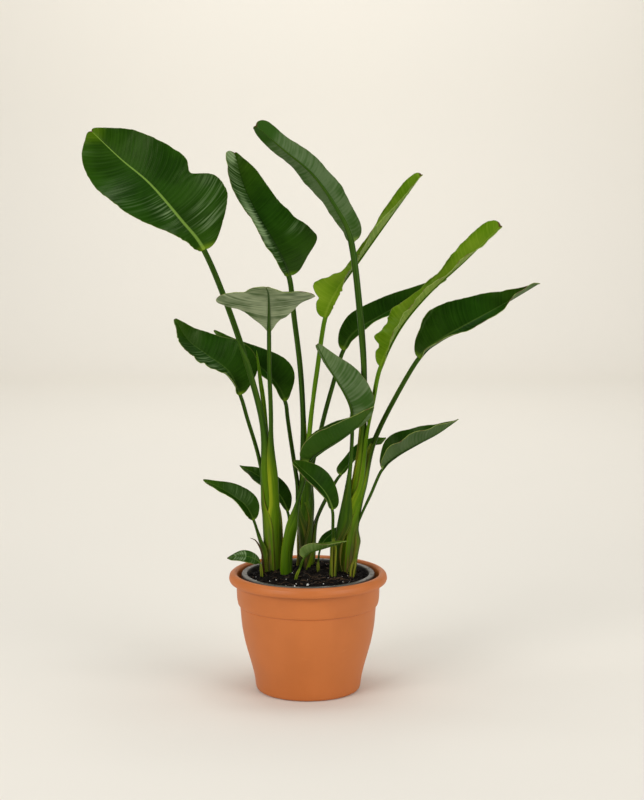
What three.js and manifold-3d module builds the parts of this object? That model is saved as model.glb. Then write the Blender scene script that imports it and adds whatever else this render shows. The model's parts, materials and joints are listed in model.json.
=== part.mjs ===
// A potted bird of paradise (giant, white-flowered kind) at life size, in millimetres, +Z up.
// The origin is the centre of the outer pot's underside, on the surface that the pot stands on.
//
// A plastic outer pot holds a nursery pot full of soil. Three big shoots, a small one and a few
// seedling leaves stand in plain holes in the soil. Every leaf is one solid from its sheath to its
// tip: the sheath wraps the younger leaves of its shoot, narrows to a channelled petiole, and goes
// on as the midrib under the blade.
import * as THREE from 'three';
import { mergeVertices } from 'three/addons/utils/BufferGeometryUtils.js';
import Module from 'manifold-3d';

const wasm = await Module();
wasm.setup();

// ---------------------------------------------------------------- driving dimensions, mm
const FLOOR = 3;             // thickness of the outer pot's floor
const GAP = 0.3;             // clearance between pieces that touch on the real plant
const POT_SIDES = 40;        // facets round both pots
const NURSERY_BASE = FLOOR + GAP;
const NURSERY_WALL = 1.6;    // thickness of the nursery pot
const NURSERY_FLOOR = NURSERY_BASE + NURSERY_WALL;
const NURSERY_FOOT = 68;     // radius of the nursery pot's underside
const NURSERY_INSIDE = [[69.6, 8], [95.4, 172], [96.2, 184.6]]; // its inner wall: radius, height
const DRAIN_HOLES = 6;       // holes in the nursery pot's floor
const DRAIN_RADIUS = 6;
const DRAIN_RING = 50;       // radius of the circle that they stand on
const SOIL_RADIUS = 95.2;    // soil where it meets the nursery pot, at its top edge
const SOIL_EDGE = 177.5;     // height of the soil at the pot's wall
const SOIL_CROWN = 7;        // how much higher the soil stands at its middle
const SOIL_SIDES = 26;       // facets round the soil
const ROOT_DEPTH = 34;       // how far a stem goes down into the soil
const CLEAR_OF_SOIL = 12;    // how far above its own axis point a stem's hole is cut
const BLADE = 1.0;           // thickness of a leaf blade
const STALK_SIDES = 8;       // facets round a stalk
const SHEATH_SHARE = 0.6;    // how much of the height of its mouth a sheath keeps its full width, as a rule
const STATIONS = 6;          // steps between the five half-widths that give a blade's outline
const FIRST_TURN = 0.03;     // a blade's first and last rows, on a half circle from base to tip
const LAST_TURN = 0.985;
const KEEL_SEAT = [0.06, 0.12]; // where the stalk's last rings sit, as shares of the blade's length

// ---------------------------------------------------------------- small mathematics
const { PI, sin, cos, min, max, sqrt, exp, floor } = Math;
const degrees = (angle) => (angle * PI) / 180;
const clamp01 = (value) => min(1, max(0, value));
const ease = (t) => t * t * (3 - 2 * t);
const mix = (a, b, t) => a + (b - a) * t;

/** The value at t (0 to 1) of three keys, with an easy turn at the middle one. */
function alongKeys([start, middle, end], t) {
  return t < 0.5 ? mix(start, middle, ease(t * 2)) : mix(middle, end, ease(t * 2 - 1));
}

/** The direction at t (0 to 1) of three direction keys. */
function alongDirections(keys, t) {
  return new THREE.Vector3(...[0, 1, 2].map((axis) => alongKeys(keys.map((key) => key[axis]), t)));
}

/** A uniform Catmull-Rom value through a list of numbers, at a parameter counted in steps. */
function throughValues(values, parameter) {
  const last = values.length - 1;
  const index = min(floor(parameter), last - 1);
  const t = parameter - index;
  const [p1, p2] = [values[index], values[index + 1]];
  const p0 = index > 0 ? values[index - 1] : 2 * p1 - p2;
  const p3 = index + 2 <= last ? values[index + 2] : 2 * p2 - p1;
  const [m1, m2] = [(p2 - p0) / 2, (p3 - p1) / 2];
  return (2 * p1 - 2 * p2 + m1 + m2) * t ** 3 + (-3 * p1 + 3 * p2 - 2 * m1 - m2) * t * t + m1 * t + p1;
}

/** A smooth line through points, which can be read at any distance along it. */
class Spine {
  static STEPS = 40; // straight pieces between two points

  constructor(points) {
    this.points = points;
    this.line = [];
    this.reach = [0];
    const count = (points.length - 1) * Spine.STEPS;
    for (let step = 0; step <= count; step += 1) {
      const place = [0, 1, 2].map((axis) => throughValues(points.map((p) => p[axis]), step / Spine.STEPS));
      this.line.push(new THREE.Vector3(...place));
      if (step > 0) this.reach.push(this.reach[step - 1] + this.line[step].distanceTo(this.line[step - 1]));
    }
    this.length = this.reach[count];
  }

  /** Distance along the line of one of its points. */
  reachOf(index) {
    return this.reach[index * Spine.STEPS];
  }

  at(distance) {
    const wanted = min(max(distance, 0), this.length);
    let high = this.reach.findIndex((reach) => reach >= wanted);
    if (high < 1) high = 1;
    const share = (wanted - this.reach[high - 1]) / (this.reach[high] - this.reach[high - 1]);
    return this.line[high - 1].clone().lerp(this.line[high], share);
  }

  /** Place, forward, upper-face and side directions at a distance; facing turns the upper face. */
  frameAt(distance, facing) {
    const reach = 2;
    const place = this.at(distance);
    const forward = this.at(distance + reach).sub(this.at(distance - reach)).normalize();
    const upper = facing.clone().addScaledVector(forward, -facing.dot(forward)).normalize();
    const side = new THREE.Vector3().crossVectors(forward, upper);
    return { place, forward, upper, side };
  }
}

// ---------------------------------------------------------------- solids
/** A closed three.js geometry as a solid. */
function toSolid(geometry) {
  const bare = geometry.clone();
  bare.deleteAttribute('normal');
  bare.deleteAttribute('uv');
  const welded = mergeVertices(bare, 1e-4);
  return new wasm.Manifold(new wasm.Mesh({
    numProp: 3,
    vertProperties: new Float32Array(welded.attributes.position.array),
    triVerts: new Uint32Array(welded.index.array),
  }));
}

/** A solid as a three.js geometry. */
function toGeometry(solid) {
  const mesh = solid.getMesh();
  const geometry = new THREE.BufferGeometry();
  geometry.setAttribute('position', new THREE.BufferAttribute(new Float32Array(mesh.vertProperties), 3));
  geometry.setIndex(new THREE.BufferAttribute(new Uint32Array(mesh.triVerts), 1));
  return geometry;
}

/** The biggest of a solid's separate bodies; cutting can leave crumbs. */
function biggestBody(solid) {
  return solid.decompose().reduce((best, body) => (body.volume() > best.volume() ? body : best));
}

/** A closed skin over rings of points that share one order; each end is closed by a fan. */
function skinRings(rings) {
  const around = rings[0].length;
  const positions = rings.flat().flatMap((point) => point.toArray());
  const index = [];
  rings.slice(1).forEach((ring, row) => {
    for (let column = 0; column < around; column += 1) {
      const next = (column + 1) % around;
      const [a, b] = [row * around + column, row * around + next];
      index.push(a, b, b + around, a, b + around, a + around);
    }
  });
  const top = (rings.length - 1) * around;
  for (let column = 1; column < around - 1; column += 1) {
    index.push(0, column + 1, column);
    index.push(top, top + column, top + column + 1);
  }
  const geometry = new THREE.BufferGeometry();
  geometry.setAttribute('position', new THREE.Float32BufferAttribute(positions, 3));
  geometry.setIndex(index);
  return toSolid(geometry);
}

/** A turned solid from a profile of [radius, height] that starts and ends on the axis. */
function turned(profile, sides = POT_SIDES) {
  const points = profile.map(([radius, height]) => new THREE.Vector2(radius, height));
  return toSolid(new THREE.LatheGeometry(points, sides).rotateX(PI / 2));
}

// ---------------------------------------------------------------- pots
/** Terracotta-coloured plastic: a tapering wall, a stepped band and a rim rolled over and down. */
function outerPot() {
  const outside = [
    [77.6, 0], [81.8, 1.6], [83.3, 7], [84.9, 20], [88.5, 36], [94.7, 58], [100.1, 77], [104.8, 102],
    [107.5, 132.5], [110.6, 138], [112.6, 148], [113, 166],
  ];
  const roll = [
    [115.2, 179], [118.4, 181.6], [121, 179], [121.2, 173.8], [123.2, 173.8],
    [125, 178.6], [123.8, 184.8], [119.8, 188.2], [115.6, 188.8], [112.3, 186],
  ];
  const inside = [[109.6, 166], [103.6, 120], [97.4, 77], [85.8, 36], [80.4, 7]];
  return turned([[0, 0], ...outside, ...roll, ...inside, [76.6, FLOOR], [0, FLOOR]]);
}

/** Grey liner pot: a thin tapering wall, a flat lip with a short skirt, and holes in its floor. */
function nurseryPot() {
  const outside = NURSERY_INSIDE.slice(0, 2).map(([radius, height]) => [radius + NURSERY_WALL, height]);
  const lip = [[97.8, 184.8], [103.4, 184.8], [103.6, 174], [104.9, 174], [105, 185.6], [104.2, 186.6], [97, 186.6]];
  const inside = NURSERY_INSIDE.slice().reverse();
  const wall = turned([
    [0, NURSERY_BASE], [NURSERY_FOOT, NURSERY_BASE], ...outside, ...lip, ...inside, [NURSERY_FOOT - 1, NURSERY_FLOOR], [0, NURSERY_FLOOR],
  ]);
  const holes = Array.from({ length: DRAIN_HOLES }, (_, number) => {
    const angle = (number / DRAIN_HOLES) * 2 * PI;
    const hole = new THREE.CylinderGeometry(DRAIN_RADIUS, DRAIN_RADIUS, 4 * NURSERY_WALL, 8).rotateX(PI / 2);
    return toSolid(hole.translate(DRAIN_RING * cos(angle), DRAIN_RING * sin(angle), NURSERY_BASE));
  });
  return holes.reduce((pot, hole) => pot.subtract(hole), wall);
}

/** Height of the soil at a point: a low crown with lumps. */
function soilHeight(x, y) {
  const share = min(1, sqrt(x * x + y * y) / SOIL_RADIUS);
  const lumps = 1.3 * sin(x * 0.11 + 1.7) * cos(y * 0.13 + 0.4) + 0.8 * sin(x * 0.31 + y * 0.23) + 0.6 * cos(y * 0.37 - x * 0.19);
  return SOIL_EDGE + SOIL_CROWN * (1 - share * share) + lumps * (1 - share ** 4);
}

/** Soil that fills the nursery pot, with a plain hole for each stem. */
function soil(stems) {
  const ring = (radius, height) => Array.from({ length: SOIL_SIDES }, (_, column) => {
    const angle = (column / SOIL_SIDES) * 2 * PI;
    const [x, y] = [radius * cos(angle), radius * sin(angle)];
    return new THREE.Vector3(x, y, height ?? soilHeight(x, y));
  });
  const bottom = NURSERY_FLOOR + GAP;
  const [[footRadius, foot], [topRadius, top]] = NURSERY_INSIDE;
  const wall = (height) => mix(footRadius, topRadius, (height - foot) / (top - foot)) - 2 * GAP;
  const levels = [bottom + 4, 60, 120, 170].map((height) => ring(wall(height), height));
  const surface = [1, 0.88, 0.7, 0.5, 0.3, 0.1].map((share) => ring(SOIL_RADIUS * share));
  return stems.reduce((body, stem) => body.subtract(stem), skinRings([ring(NURSERY_FOOT - 2, bottom), ...levels, ...surface]));
}

// ---------------------------------------------------------------- leaves
/** How free of its sheath a leaf's stalk is at a distance along its spine: 0 sheath, 1 petiole. */
function freeShare(leaf, distance) {
  const start = leaf.keep * leaf.mouth;
  return ease(clamp01((distance - ROOT_DEPTH - start) / (leaf.mouth - start)));
}

/** Radius of a leaf's stalk at a distance along its spine. */
function stalkRadius(leaf, distance) {
  const petiole = mix(leaf.petiole[0], leaf.petiole[1], clamp01(distance / leaf.collarAt));
  const rolledTip = leaf.blade ? 1 : sqrt(clamp01(1.02 * (1 - distance / leaf.collarAt) * 6));
  return mix(leaf.sheath, petiole, freeShare(leaf, distance)) * rolledTip;
}

/** A point of a stalk's ring, moved out along x as far as the shoot's sheaths are flattened. */
function flattened(leaf, place, point, distance) {
  point.x = mix(place.x, point.x, mix(leaf.flat, 1, freeShare(leaf, distance)));
  return point;
}

/** A round rod along a leaf's stalk, grown by an allowance: the room that the stalk takes up. */
function stalkRoom(leaf, allowance, from = -allowance, to = leaf.collarAt) {
  const rings = leaf.ringsAt.filter((distance) => distance > from && distance < to);
  return skinRings([max(from, -allowance), ...rings, to].map((distance) => {
    const { place, upper, side, forward } = leaf.spine.frameAt(distance, leaf.facing(0));
    if (distance < 0) place.addScaledVector(forward, distance);
    const radius = stalkRadius(leaf, max(0, distance)) + allowance;
    return Array.from({ length: STALK_SIDES }, (_, column) => {
      const angle = (column / STALK_SIDES) * 2 * PI;
      const point = place.clone().addScaledVector(upper, radius * cos(angle)).addScaledVector(side, radius * sin(angle));
      return flattened(leaf, place, point, distance);
    });
  }));
}

/** The stalk: round in the sheath, channelled above it, and sunk into the blade's keel at its end. */
function stalk(leaf) {
  const bladeLength = leaf.spine.length - leaf.collarAt;
  const ends = leaf.blade ? [leaf.collarAt, ...KEEL_SEAT.map((share) => leaf.collarAt + share * bladeLength)] : [leaf.collarAt - 0.2];
  return skinRings([0, ...leaf.ringsAt, ...ends].map((distance) => {
    const share = clamp01((distance - leaf.collarAt) / max(1, bladeLength));
    const { place, upper, side } = leaf.spine.frameAt(distance, leaf.facing(share));
    const radius = stalkRadius(leaf, min(distance, leaf.collarAt)) * (1 - 5 * share);
    const sheathed = clamp01((radius / leaf.petiole[0] - 1.15) / 0.3);
    place.addScaledVector(upper, -0.6 * radius * clamp01(share * 40));
    return Array.from({ length: STALK_SIDES }, (_, column) => {
      const angle = (column / STALK_SIDES) * 2 * PI;
      const depth = radius * (column === 0 ? mix(0.5, 1, sheathed) : 1);
      const point = place.clone().addScaledVector(upper, depth * cos(angle)).addScaledVector(side, depth * sin(angle));
      return flattened(leaf, place, point, distance);
    });
  }));
}

/** The midrib thins out from the petiole's end to the tip. */
function midribRadius(leaf, share) {
  return mix(leaf.petiole[1], 0.6, share ** 0.7);
}

/** Half the blade's width on one side (-1 left, +1 right); turn counts 0 to 1 from base to tip. */
function halfWidth(leaf, side, turn) {
  const widths = side < 0 ? leaf.left : leaf.right;
  const plain = max(0, throughValues([0, ...widths, 0], turn * STATIONS));
  const share = (1 - cos(PI * turn)) / 2;
  const bulges = leaf.bulges.filter((bulge) => bulge.side === side);
  return bulges.reduce((width, { at, gain, length }) => width * (1 + gain * exp(-(((share - at) / length) ** 2))), plain);
}

/** Points of the blade's middle surface along one vein, from the midrib to the margin. */
function veinPoints(leaf, side, turn, count) {
  const share = (1 - cos(PI * turn)) / 2;
  const distance = mix(leaf.collarAt, leaf.spine.length, share);
  const frame = leaf.spine.frameAt(distance, leaf.facing(share));
  const width = halfWidth(leaf, side, turn);
  const which = side < 0 ? 0 : 1;
  const relax = clamp01(width / 12);
  const fold = degrees(alongKeys(leaf.fold[which], share)) * relax;
  const curl = degrees(alongKeys(leaf.curl[which], share)) * relax;
  const slant = degrees(mix(leaf.slant[0], leaf.slant[1], share ** 1.5));
  const out = frame.side.clone().multiplyScalar(side * cos(slant)).addScaledVector(frame.forward, sin(slant));
  const [height, waves, phase] = leaf.wave;
  const fade = min(1, 4 * share, 6 * (1 - share));
  const lift = height * fade * sin(2 * PI * (waves * share + phase + side / 4));
  const ribEdge = min(0.3, (0.9 * midribRadius(leaf, share)) / max(width, 0.1));
  const reached = [ribEdge, ...Array.from({ length: count - 1 }, (_, step) => mix(ribEdge, 1, (step + 1) / (count - 1)))];
  const points = [];
  let place = frame.place;
  reached.forEach((reach, step) => {
    const from = step > 0 ? reached[step - 1] : 0;
    const angle = fold + (curl * (reach + from)) / 2;
    const along = out.clone().multiplyScalar(cos(angle)).addScaledVector(frame.upper, sin(angle));
    const across = frame.upper.clone().multiplyScalar(cos(angle)).addScaledVector(out, -sin(angle));
    place = place.clone().addScaledVector(along, width * (reach - from));
    points.push(place.clone().addScaledVector(across, lift * reach ** 2));
  });
  return { centre: frame.place, points };
}

/** A blade as a closed sheet: both faces are split alike, and a narrow wall joins them. */
function blade(leaf) {
  const [rows, columns] = leaf.mesh;
  const grid = [];
  for (let row = 0; row <= rows; row += 1) {
    const turn = mix(FIRST_TURN, LAST_TURN, row / rows);
    const left = veinPoints(leaf, -1, turn, columns);
    const right = veinPoints(leaf, 1, turn, columns);
    grid.push([...left.points.reverse(), left.centre, ...right.points]);
  }
  const wide = 2 * columns + 1;
  const keel = grid.map((_, row) => midribRadius(leaf, (1 - cos(PI * mix(FIRST_TURN, LAST_TURN, row / rows))) / 2));
  const normals = grid.map((line, row) => line.map((_, column) => {
    const [before, after] = [grid[max(0, row - 1)][column], grid[min(rows, row + 1)][column]];
    const [west, east] = [line[max(0, column - 1)], line[min(wide - 1, column + 1)]];
    return east.clone().sub(west).cross(after.clone().sub(before)).normalize();
  }));
  const face = (sign) => grid.flatMap((line, row) => line.flatMap((point, column) => {
    const rib = sign < 0 && column === columns ? 1.3 * keel[row] : 0;
    return point.clone().addScaledVector(normals[row][column], sign * (BLADE / 2 + rib)).toArray();
  }));
  const index = [];
  const under = wide * (rows + 1);
  for (let row = 0; row < rows; row += 1) {
    for (let column = 0; column < wide - 1; column += 1) {
      const [a, b] = [row * wide + column, row * wide + column + 1];
      const [c, d] = [b + wide, a + wide];
      const halves = column < columns ? [[a, b, c], [a, c, d]] : [[a, b, d], [b, c, d]];
      halves.forEach(([p, q, r]) => index.push(p, q, r, under + p, under + r, under + q));
    }
  }
  const rim = [];
  for (let column = 0; column < wide; column += 1) rim.push(column);
  for (let row = 1; row <= rows; row += 1) rim.push(row * wide + wide - 1);
  for (let column = wide - 2; column >= 0; column -= 1) rim.push(rows * wide + column);
  for (let row = rows - 1; row > 0; row -= 1) rim.push(row * wide);
  rim.forEach((a, place) => {
    const b = rim[(place + 1) % rim.length];
    index.push(b, a, under + a, b, under + a, under + b);
  });
  const geometry = new THREE.BufferGeometry();
  geometry.setAttribute('position', new THREE.Float32BufferAttribute([...face(1), ...face(-1)], 3));
  geometry.setIndex(index);
  return toSolid(geometry);
}

/** A leaf's spine, frame and ring places, worked out once from its own sizes. */
function grownLeaf(plan, shoot) {
  const shared = shoot.axis.slice(0, plan.shared ?? shoot.axis.length);
  const [x, y, z] = shoot.axis[0];
  const spine = new Spine([[x, y, z - ROOT_DEPTH], ...shared, ...plan.stalk, ...(plan.blade ?? [])]);
  const collarAt = spine.reachOf(shared.length + plan.stalk.length);
  const sizes = { ...COMMON, flat: shoot.flat ?? 1, ...plan };
  const count = sizes.rings;
  const ringsAt = Array.from({ length: count }, (_, ring) => ((ring + 1) / (count + 1)) * collarAt);
  const facing = (share) => alongDirections(sizes.face, share);
  return { ...sizes, spine, collarAt, ringsAt, facing };
}

/** What most leaves have; a leaf's own line below comes before it. */
const COMMON = {
  keep: SHEATH_SHARE,
  face: [[0, -1, 0.3], [0, -1, 0.5], [0, -1, 0.5]],
  curl: [[0, 0, 0], [0, 0, 0]],
  wave: [1.5, 3, 0],
  slant: [-12, 45],
  bulges: [],
  mesh: [9, 3],
  rings: 6,
};

// Each shoot has the axis that its leaves share from the soil up, how much wider along x than along
// y its nested sheaths are (flat), and its leaves, youngest first.
// A leaf gives, in mm: its sheath's radius, how far above the soil the sheath opens, the petiole's
// radius at its foot and at the blade, points along the stalk up to the blade, points along the
// midrib to the tip, and the blade's half-widths at five stations on its left and right. face is
// where the upper side looks at the blade's base, middle and tip; fold and curl are in degrees at
// the same three places, left then right; wave is the margin's height, count and start.
const SHOOTS = [
  {
    name: 'left', axis: [[-54, 20, 181], [-56, 20, 251]], flat: 1.5,
    leaves: [
      {
        name: 'spear', young: true, sheath: 4.6, mouth: 200, petiole: [4.2, 3.6], rings: 11,
        stalk: [[-62, 20, 347], [-69, 22, 443], [-75, 24, 490], [-81, 26, 537]],
      },
      {
        name: 'leaf_1', sheath: 7, mouth: 250, petiole: [5.4, 4.4], mesh: [15, 3], rings: 9,
        stalk: [[-63, 20, 325], [-71, 14, 420], [-92, 6, 508], [-125, -2, 610], [-160, -6, 695]],
        blade: [[-195, -2, 741], [-243, 8, 796], [-289, 22, 834], [-336, 40, 877]],
        left: [16, 38, 68, 58, 22], right: [36, 86, 67, 49, 18],
        face: [[-0.1, -1, 0.1], [0, -1, 0.3], [-0.1, -1, 0.5]],
        fold: [[50, 20, 4], [4, 8, 8]], curl: [[0, 0, -10], [0, 0, -12]], wave: [2.5, 3, 0], slant: [-16, 46],
        bulges: [{ side: 1, at: 0.4, gain: -0.22, length: 0.05 }, { side: -1, at: 0.04, gain: 0.35, length: 0.03 }],
      },
      {
        name: 'leaf_2', sheath: 8.8, mouth: 240, petiole: [3.9, 3.4],
        stalk: [[-60, 17, 335], [-58, 8, 429], [-60, 0, 508], [-60, -8, 569]],
        blade: [[-59, -38, 596], [-58, -72, 619], [-58, -108, 636], [-60, -145, 647]],
        left: [9, 26, 50, 52, 28], right: [10, 36, 60, 40, 20],
        bulges: [{ side: -1, at: 0.66, gain: 0.36, length: 0.1 }, { side: 1, at: 0.5, gain: 0.34, length: 0.1 }],
        face: [[0, 1, 0.6], [0, 0.45, 1], [0, 0.3, 1]],
        fold: [[14, -2, -14], [14, 0, -4]], wave: [2, 3, 0.2],
      },
      {
        name: 'leaf_3', sheath: 10.6, mouth: 175, petiole: [3.5, 3],
        stalk: [[-59, 21, 290], [-70, 22, 331], [-81, 24, 379], [-95, 24, 426], [-107, 26, 466]],
        blade: [[-126, 32, 503], [-160, 42, 528], [-190, 54, 550], [-212, 70, 582]],
        left: [10, 28, 34, 22, 8], right: [20, 50, 36, 22, 8],
        face: [[0, -1, 0.3], [0.1, -1, 0.5], [0.3, -1, 0.5]],
        fold: [[50, 40, 30], [6, 12, 20]], curl: [[70, 10, 10], [0, 0, 0]],
      },
      {
        name: 'leaf_4', sheath: 12.3, mouth: 80, keep: 0.1, petiole: [3.6, 2.2], mesh: [6, 2], rings: 7, shared: 1,
        stalk: [[-62, 16, 212], [-77, 9, 242], [-86, 4, 270]],
        blade: [[-98, 0, 293], [-115, -4, 308], [-138, -6, 323], [-164, -6, 336]],
        left: [7, 20, 14, 11, 4], right: [11, 22, 20, 10, 4],
        face: [[0, -1, 0.6], [0, -1, 0.9], [0, -1, 0.9]],
        fold: [[50, 40, 30], [6, 12, 20]], wave: [1, 3, 0],
      },
    ],
  },
  {
    name: 'middle', axis: [[-4, 38, 179], [-5, 38, 247]],
    leaves: [
      {
        name: 'leaf_1', sheath: 7, mouth: 260, petiole: [4.6, 4.2], mesh: [11, 3], rings: 9,
        stalk: [[-7, 38, 312], [-7, 42, 403], [-12, 42, 502], [-22, 40, 588], [-30, 36, 653]],
        blade: [[-52, 40, 702], [-78, 46, 746], [-100, 54, 791], [-115, 64, 844]],
        left: [16, 24, 30, 32, 24], right: [28, 60, 41, 31, 11],
        face: [[0.2, -1, 0.1], [0.2, -1, 0.3], [0.3, -1, 0.4]],
        fold: [[46, 50, 20], [-5, 8, 20]], wave: [2, 3, 0.1], slant: [-14, 40],
        bulges: [{ side: 1, at: 0.2, gain: 0.18, length: 0.06 }, { side: 1, at: 0.36, gain: -0.1, length: 0.05 }],
      },
      {
        name: 'leaf_2', young: true, sheath: 9.2, mouth: 230, petiole: [4.2, 3.6],
        stalk: [[-2, 34, 345], [5, 32, 435], [14, 30, 502], [27, 24, 588]],
        blade: [[45, 26, 629], [78, 34, 675], [130, 44, 746], [178, 58, 810]],
        left: [19, 12, 12, 18, 16], right: [10, 18, 26, 22, 14],
        bulges: [{ side: -1, at: 0.175, gain: 1.5, length: 0.06 }], mesh: [11, 3],
        face: [[-0.2, -1, 0.2], [-0.6, -0.6, 0.5], [-0.6, -0.6, 0.5]],
        fold: [[10, 26, 20], [40, 60, 30]], wave: [2.5, 3, 0.2], slant: [-14, 34],
      },
      {
        name: 'leaf_3', sheath: 11.4, mouth: 150, petiole: [4, 3.2],
        stalk: [[-18, 46, 327], [-28, 56, 390], [-33, 62, 424], [-37, 66, 451]],
        blade: [[-52, 72, 479], [-79, 82, 506], [-113, 92, 530], [-152, 106, 561]],
        left: [8, 16, 20, 14, 6], right: [14, 38, 26, 13, 5],
        face: [[0.2, -1, 0.3], [0.2, -1, 0.5], [0.2, -1, 0.5]],
        fold: [[50, 50, 40], [8, 14, 20]],
      },
      {
        name: 'leaf_4', sheath: 13.5, mouth: 170, petiole: [4.4, 3.4],
        stalk: [[-2, 40, 300], [6, 46, 349], [24, 56, 422], [38, 62, 473], [56, 66, 533]],
        blade: [[76, 70, 563], [118, 78, 588], [166, 88, 614], [221, 102, 644]],
        left: [15, 28, 24, 15, 6], right: [10, 20, 26, 22, 8],
        face: [[-0.3, -1, 0.4], [-0.3, -1, 0.6], [-0.3, -1, 0.6]],
        fold: [[14, 20, 20], [40, 50, 44]], wave: [2, 3, 0],
      },
      {
        name: 'leaf_5', sheath: 15.6, mouth: 95, keep: 0.25, petiole: [5, 2.4], mesh: [6, 2], shared: 1,
        stalk: [[-3, 38, 211], [11, 42, 259], [28, 48, 295], [40, 52, 316], [51, 56, 333]],
        blade: [[67, 62, 351], [90, 70, 371], [125, 82, 389]],
        left: [11, 13, 15, 12, 4], right: [6, 16, 16, 12, 4],
        face: [[-0.4, -0.9, 0.5], [-0.3, -1, 0.7], [-0.2, -1, 0.7]],
        fold: [[14, 20, 20], [50, 50, 40]], wave: [1, 3, 0],
      },
    ],
  },
  {
    name: 'right', axis: [[60, 8, 183], [67, 6, 263]], flat: 1.3,
    leaves: [
      {
        name: 'leaf_1', sheath: 6.8, mouth: 270, petiole: [5.8, 5], rings: 9,
        stalk: [[75, 4, 318], [84, 0, 382], [87, -2, 496], [81, 0, 596], [67, 4, 707]],
        blade: [[44, 8, 759], [7, 12, 811], [-38, 16, 849], [-80, 18, 885]],
        left: [34, 38, 37, 24, 20], right: [11, 21, 28, 22, 18],
        face: [[-0.1, 1, 0.1], [-0.1, 1, 0.2], [-0.2, 1, 0.4]],
        fold: [[50, 55, 30], [56, 50, 40]], slant: [-10, 34],
      },
      {
        name: 'leaf_2', young: true, sheath: 8.9, mouth: 250, petiole: [4, 3.4],
        stalk: [[75, 2, 323], [89, -4, 399], [101, -10, 459], [113, -16, 516]],
        blade: [[142, -20, 576], [185, -18, 628], [241, -10, 678], [298, 4, 732]],
        left: [16, 25, 14, 25, 24], right: [10, 24, 15, 18, 13],
        face: [[-0.4, -0.8, 0.3], [-0.6, -0.6, 0.5], [-0.5, -0.7, 0.5]],
        fold: [[20, 34, 10], [60, 68, 30]], wave: [2, 4, 0.1], slant: [-12, 32],
      },
      {
        name: 'leaf_3', sheath: 10.7, mouth: 230, petiole: [4.6, 3.6],
        stalk: [[78, 8, 320], [97, 8, 378], [125, 6, 442], [173, 2, 527]],
        blade: [[206, 4, 555], [249, 8, 580], [300, 16, 607], [361, 30, 641]],
        left: [20, 48, 38, 18, 6], right: [12, 24, 27, 24, 15],
        face: [[-0.3, -1, 0.3], [-0.3, -1, 0.5], [-0.3, -1, 0.5]],
        fold: [[6, 10, 14], [50, 34, 74]], curl: [[0, 0, 0], [60, 20, 30]], wave: [1.5, 4, 0],
      },
      {
        name: 'leaf_4', sheath: 12, mouth: 88, petiole: [3.2, 2.4], shared: 1,
        stalk: [[68, 5, 236], [83, 2, 278], [98, -2, 311], [117, -6, 354]],
        blade: [[138, -8, 374], [170, -10, 393], [203, -12, 411], [234, -14, 433]],
        left: [13, 32, 26, 14, 4], right: [18, 40, 40, 24, 7],
        face: [[-0.4, -0.5, 0.9], [-0.4, -0.4, 0.9], [-0.4, -0.4, 0.9]],
        fold: [[50, 44, 36], [60, 56, 50]], wave: [1.5, 4, 0.1],
      },
      {
        name: 'leaf_5', sheath: 13.3, mouth: 180, keep: 0.25, petiole: [3.4, 3], shared: 1,
        stalk: [[60, 4, 254], [63, -4, 320], [67, -14, 369], [69, -22, 420]],
        blade: [[67, -26, 452], [53, -26, 482], [33, -24, 514], [14, -20, 550]],
        left: [18, 38, 36, 21, 9], right: [6, 14, 16, 14, 7],
        face: [[0.3, 1, 0.1], [0.2, 1, 0.1], [0.1, 1, 0.2]],
        fold: [[14, 20, 30], [70, 70, 60]], wave: [1, 3, 0],
      },
    ],
  },
  {
    name: 'small_middle', axis: [[-35, 0, 184], [-32, -1, 228]],
    leaves: [
      {
        name: 'leaf_1', sheath: 5, mouth: 60, petiole: [2.8, 2.2], mesh: [6, 2], rings: 6,
        stalk: [[-30, 24, 258], [-33, 40, 277]],
        blade: [[-44, 48, 299], [-63, 54, 319], [-85, 58, 334], [-110, 64, 347]],
        left: [5, 12, 20, 14, 4], right: [8, 18, 18, 11, 3],
        face: [[0.2, -1, 0.4], [0.1, -1, 0.7], [0.1, -1, 0.7]],
        fold: [[40, 36, 30], [8, 14, 20]], wave: [1, 3, 0],
      },
      {
        name: 'leaf_2', sheath: 9.5, mouth: 125, petiole: [3.8, 3],
        stalk: [[-20, -12, 286], [-9, -22, 329], [2, -34, 369]],
        blade: [[20, -42, 387], [50, -50, 407], [76, -56, 428], [101, -60, 459]],
        left: [22, 30, 28, 16, 6], right: [24, 38, 36, 22, 8],
        face: [[-0.5, -0.2, 0.8], [-0.5, -0.1, 0.9], [-0.5, -0.1, 0.9]],
        fold: [[74, 68, 56], [60, 56, 50]], wave: [0.8, 3, 0], slant: [-14, 36],
      },
    ],
  },
  {
    name: 'small_right', axis: [[39, -14, 184], [40, -18, 222]],
    leaves: [
      {
        name: 'leaf', sheath: 5.5, mouth: 70, petiole: [2.8, 2.4], mesh: [6, 2], rings: 6,
        stalk: [[39, -28, 260], [38, -40, 295]],
        blade: [[28, -46, 321], [10, -50, 343], [-7, -52, 359], [-21, -52, 373]],
        left: [5, 12, 24, 20, 9], right: [11, 18, 24, 17, 7],
        face: [[0.2, -1, 0.3], [0.2, -1, 0.5], [0.2, -1, 0.5]],
        fold: [[50, 46, 40], [6, 10, 16]], wave: [1, 3, 0],
      },
    ],
  },
  {
    name: 'low_left', axis: [[-73, -8, 182], [-74, -8, 192]],
    leaves: [
      {
        name: 'leaf', sheath: 2.4, mouth: 20, petiole: [2, 1.6], mesh: [5, 2], rings: 4,
        stalk: [[-76, -9, 204]],
        blade: [[-90, -12, 213], [-107, -14, 216], [-127, -16, 213]],
        left: [5, 13, 14, 10, 3], right: [4, 9, 10, 6, 2],
        face: [[0, -1, 0.9], [0, -1, 1], [0, -1, 1]], fold: [[20, 20, 10], [16, 12, 10]], wave: [0.6, 2, 0],
      },
    ],
  },
  {
    name: 'low_back', axis: [[16, 8, 184], [16, 10, 201]],
    leaves: [
      {
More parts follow.
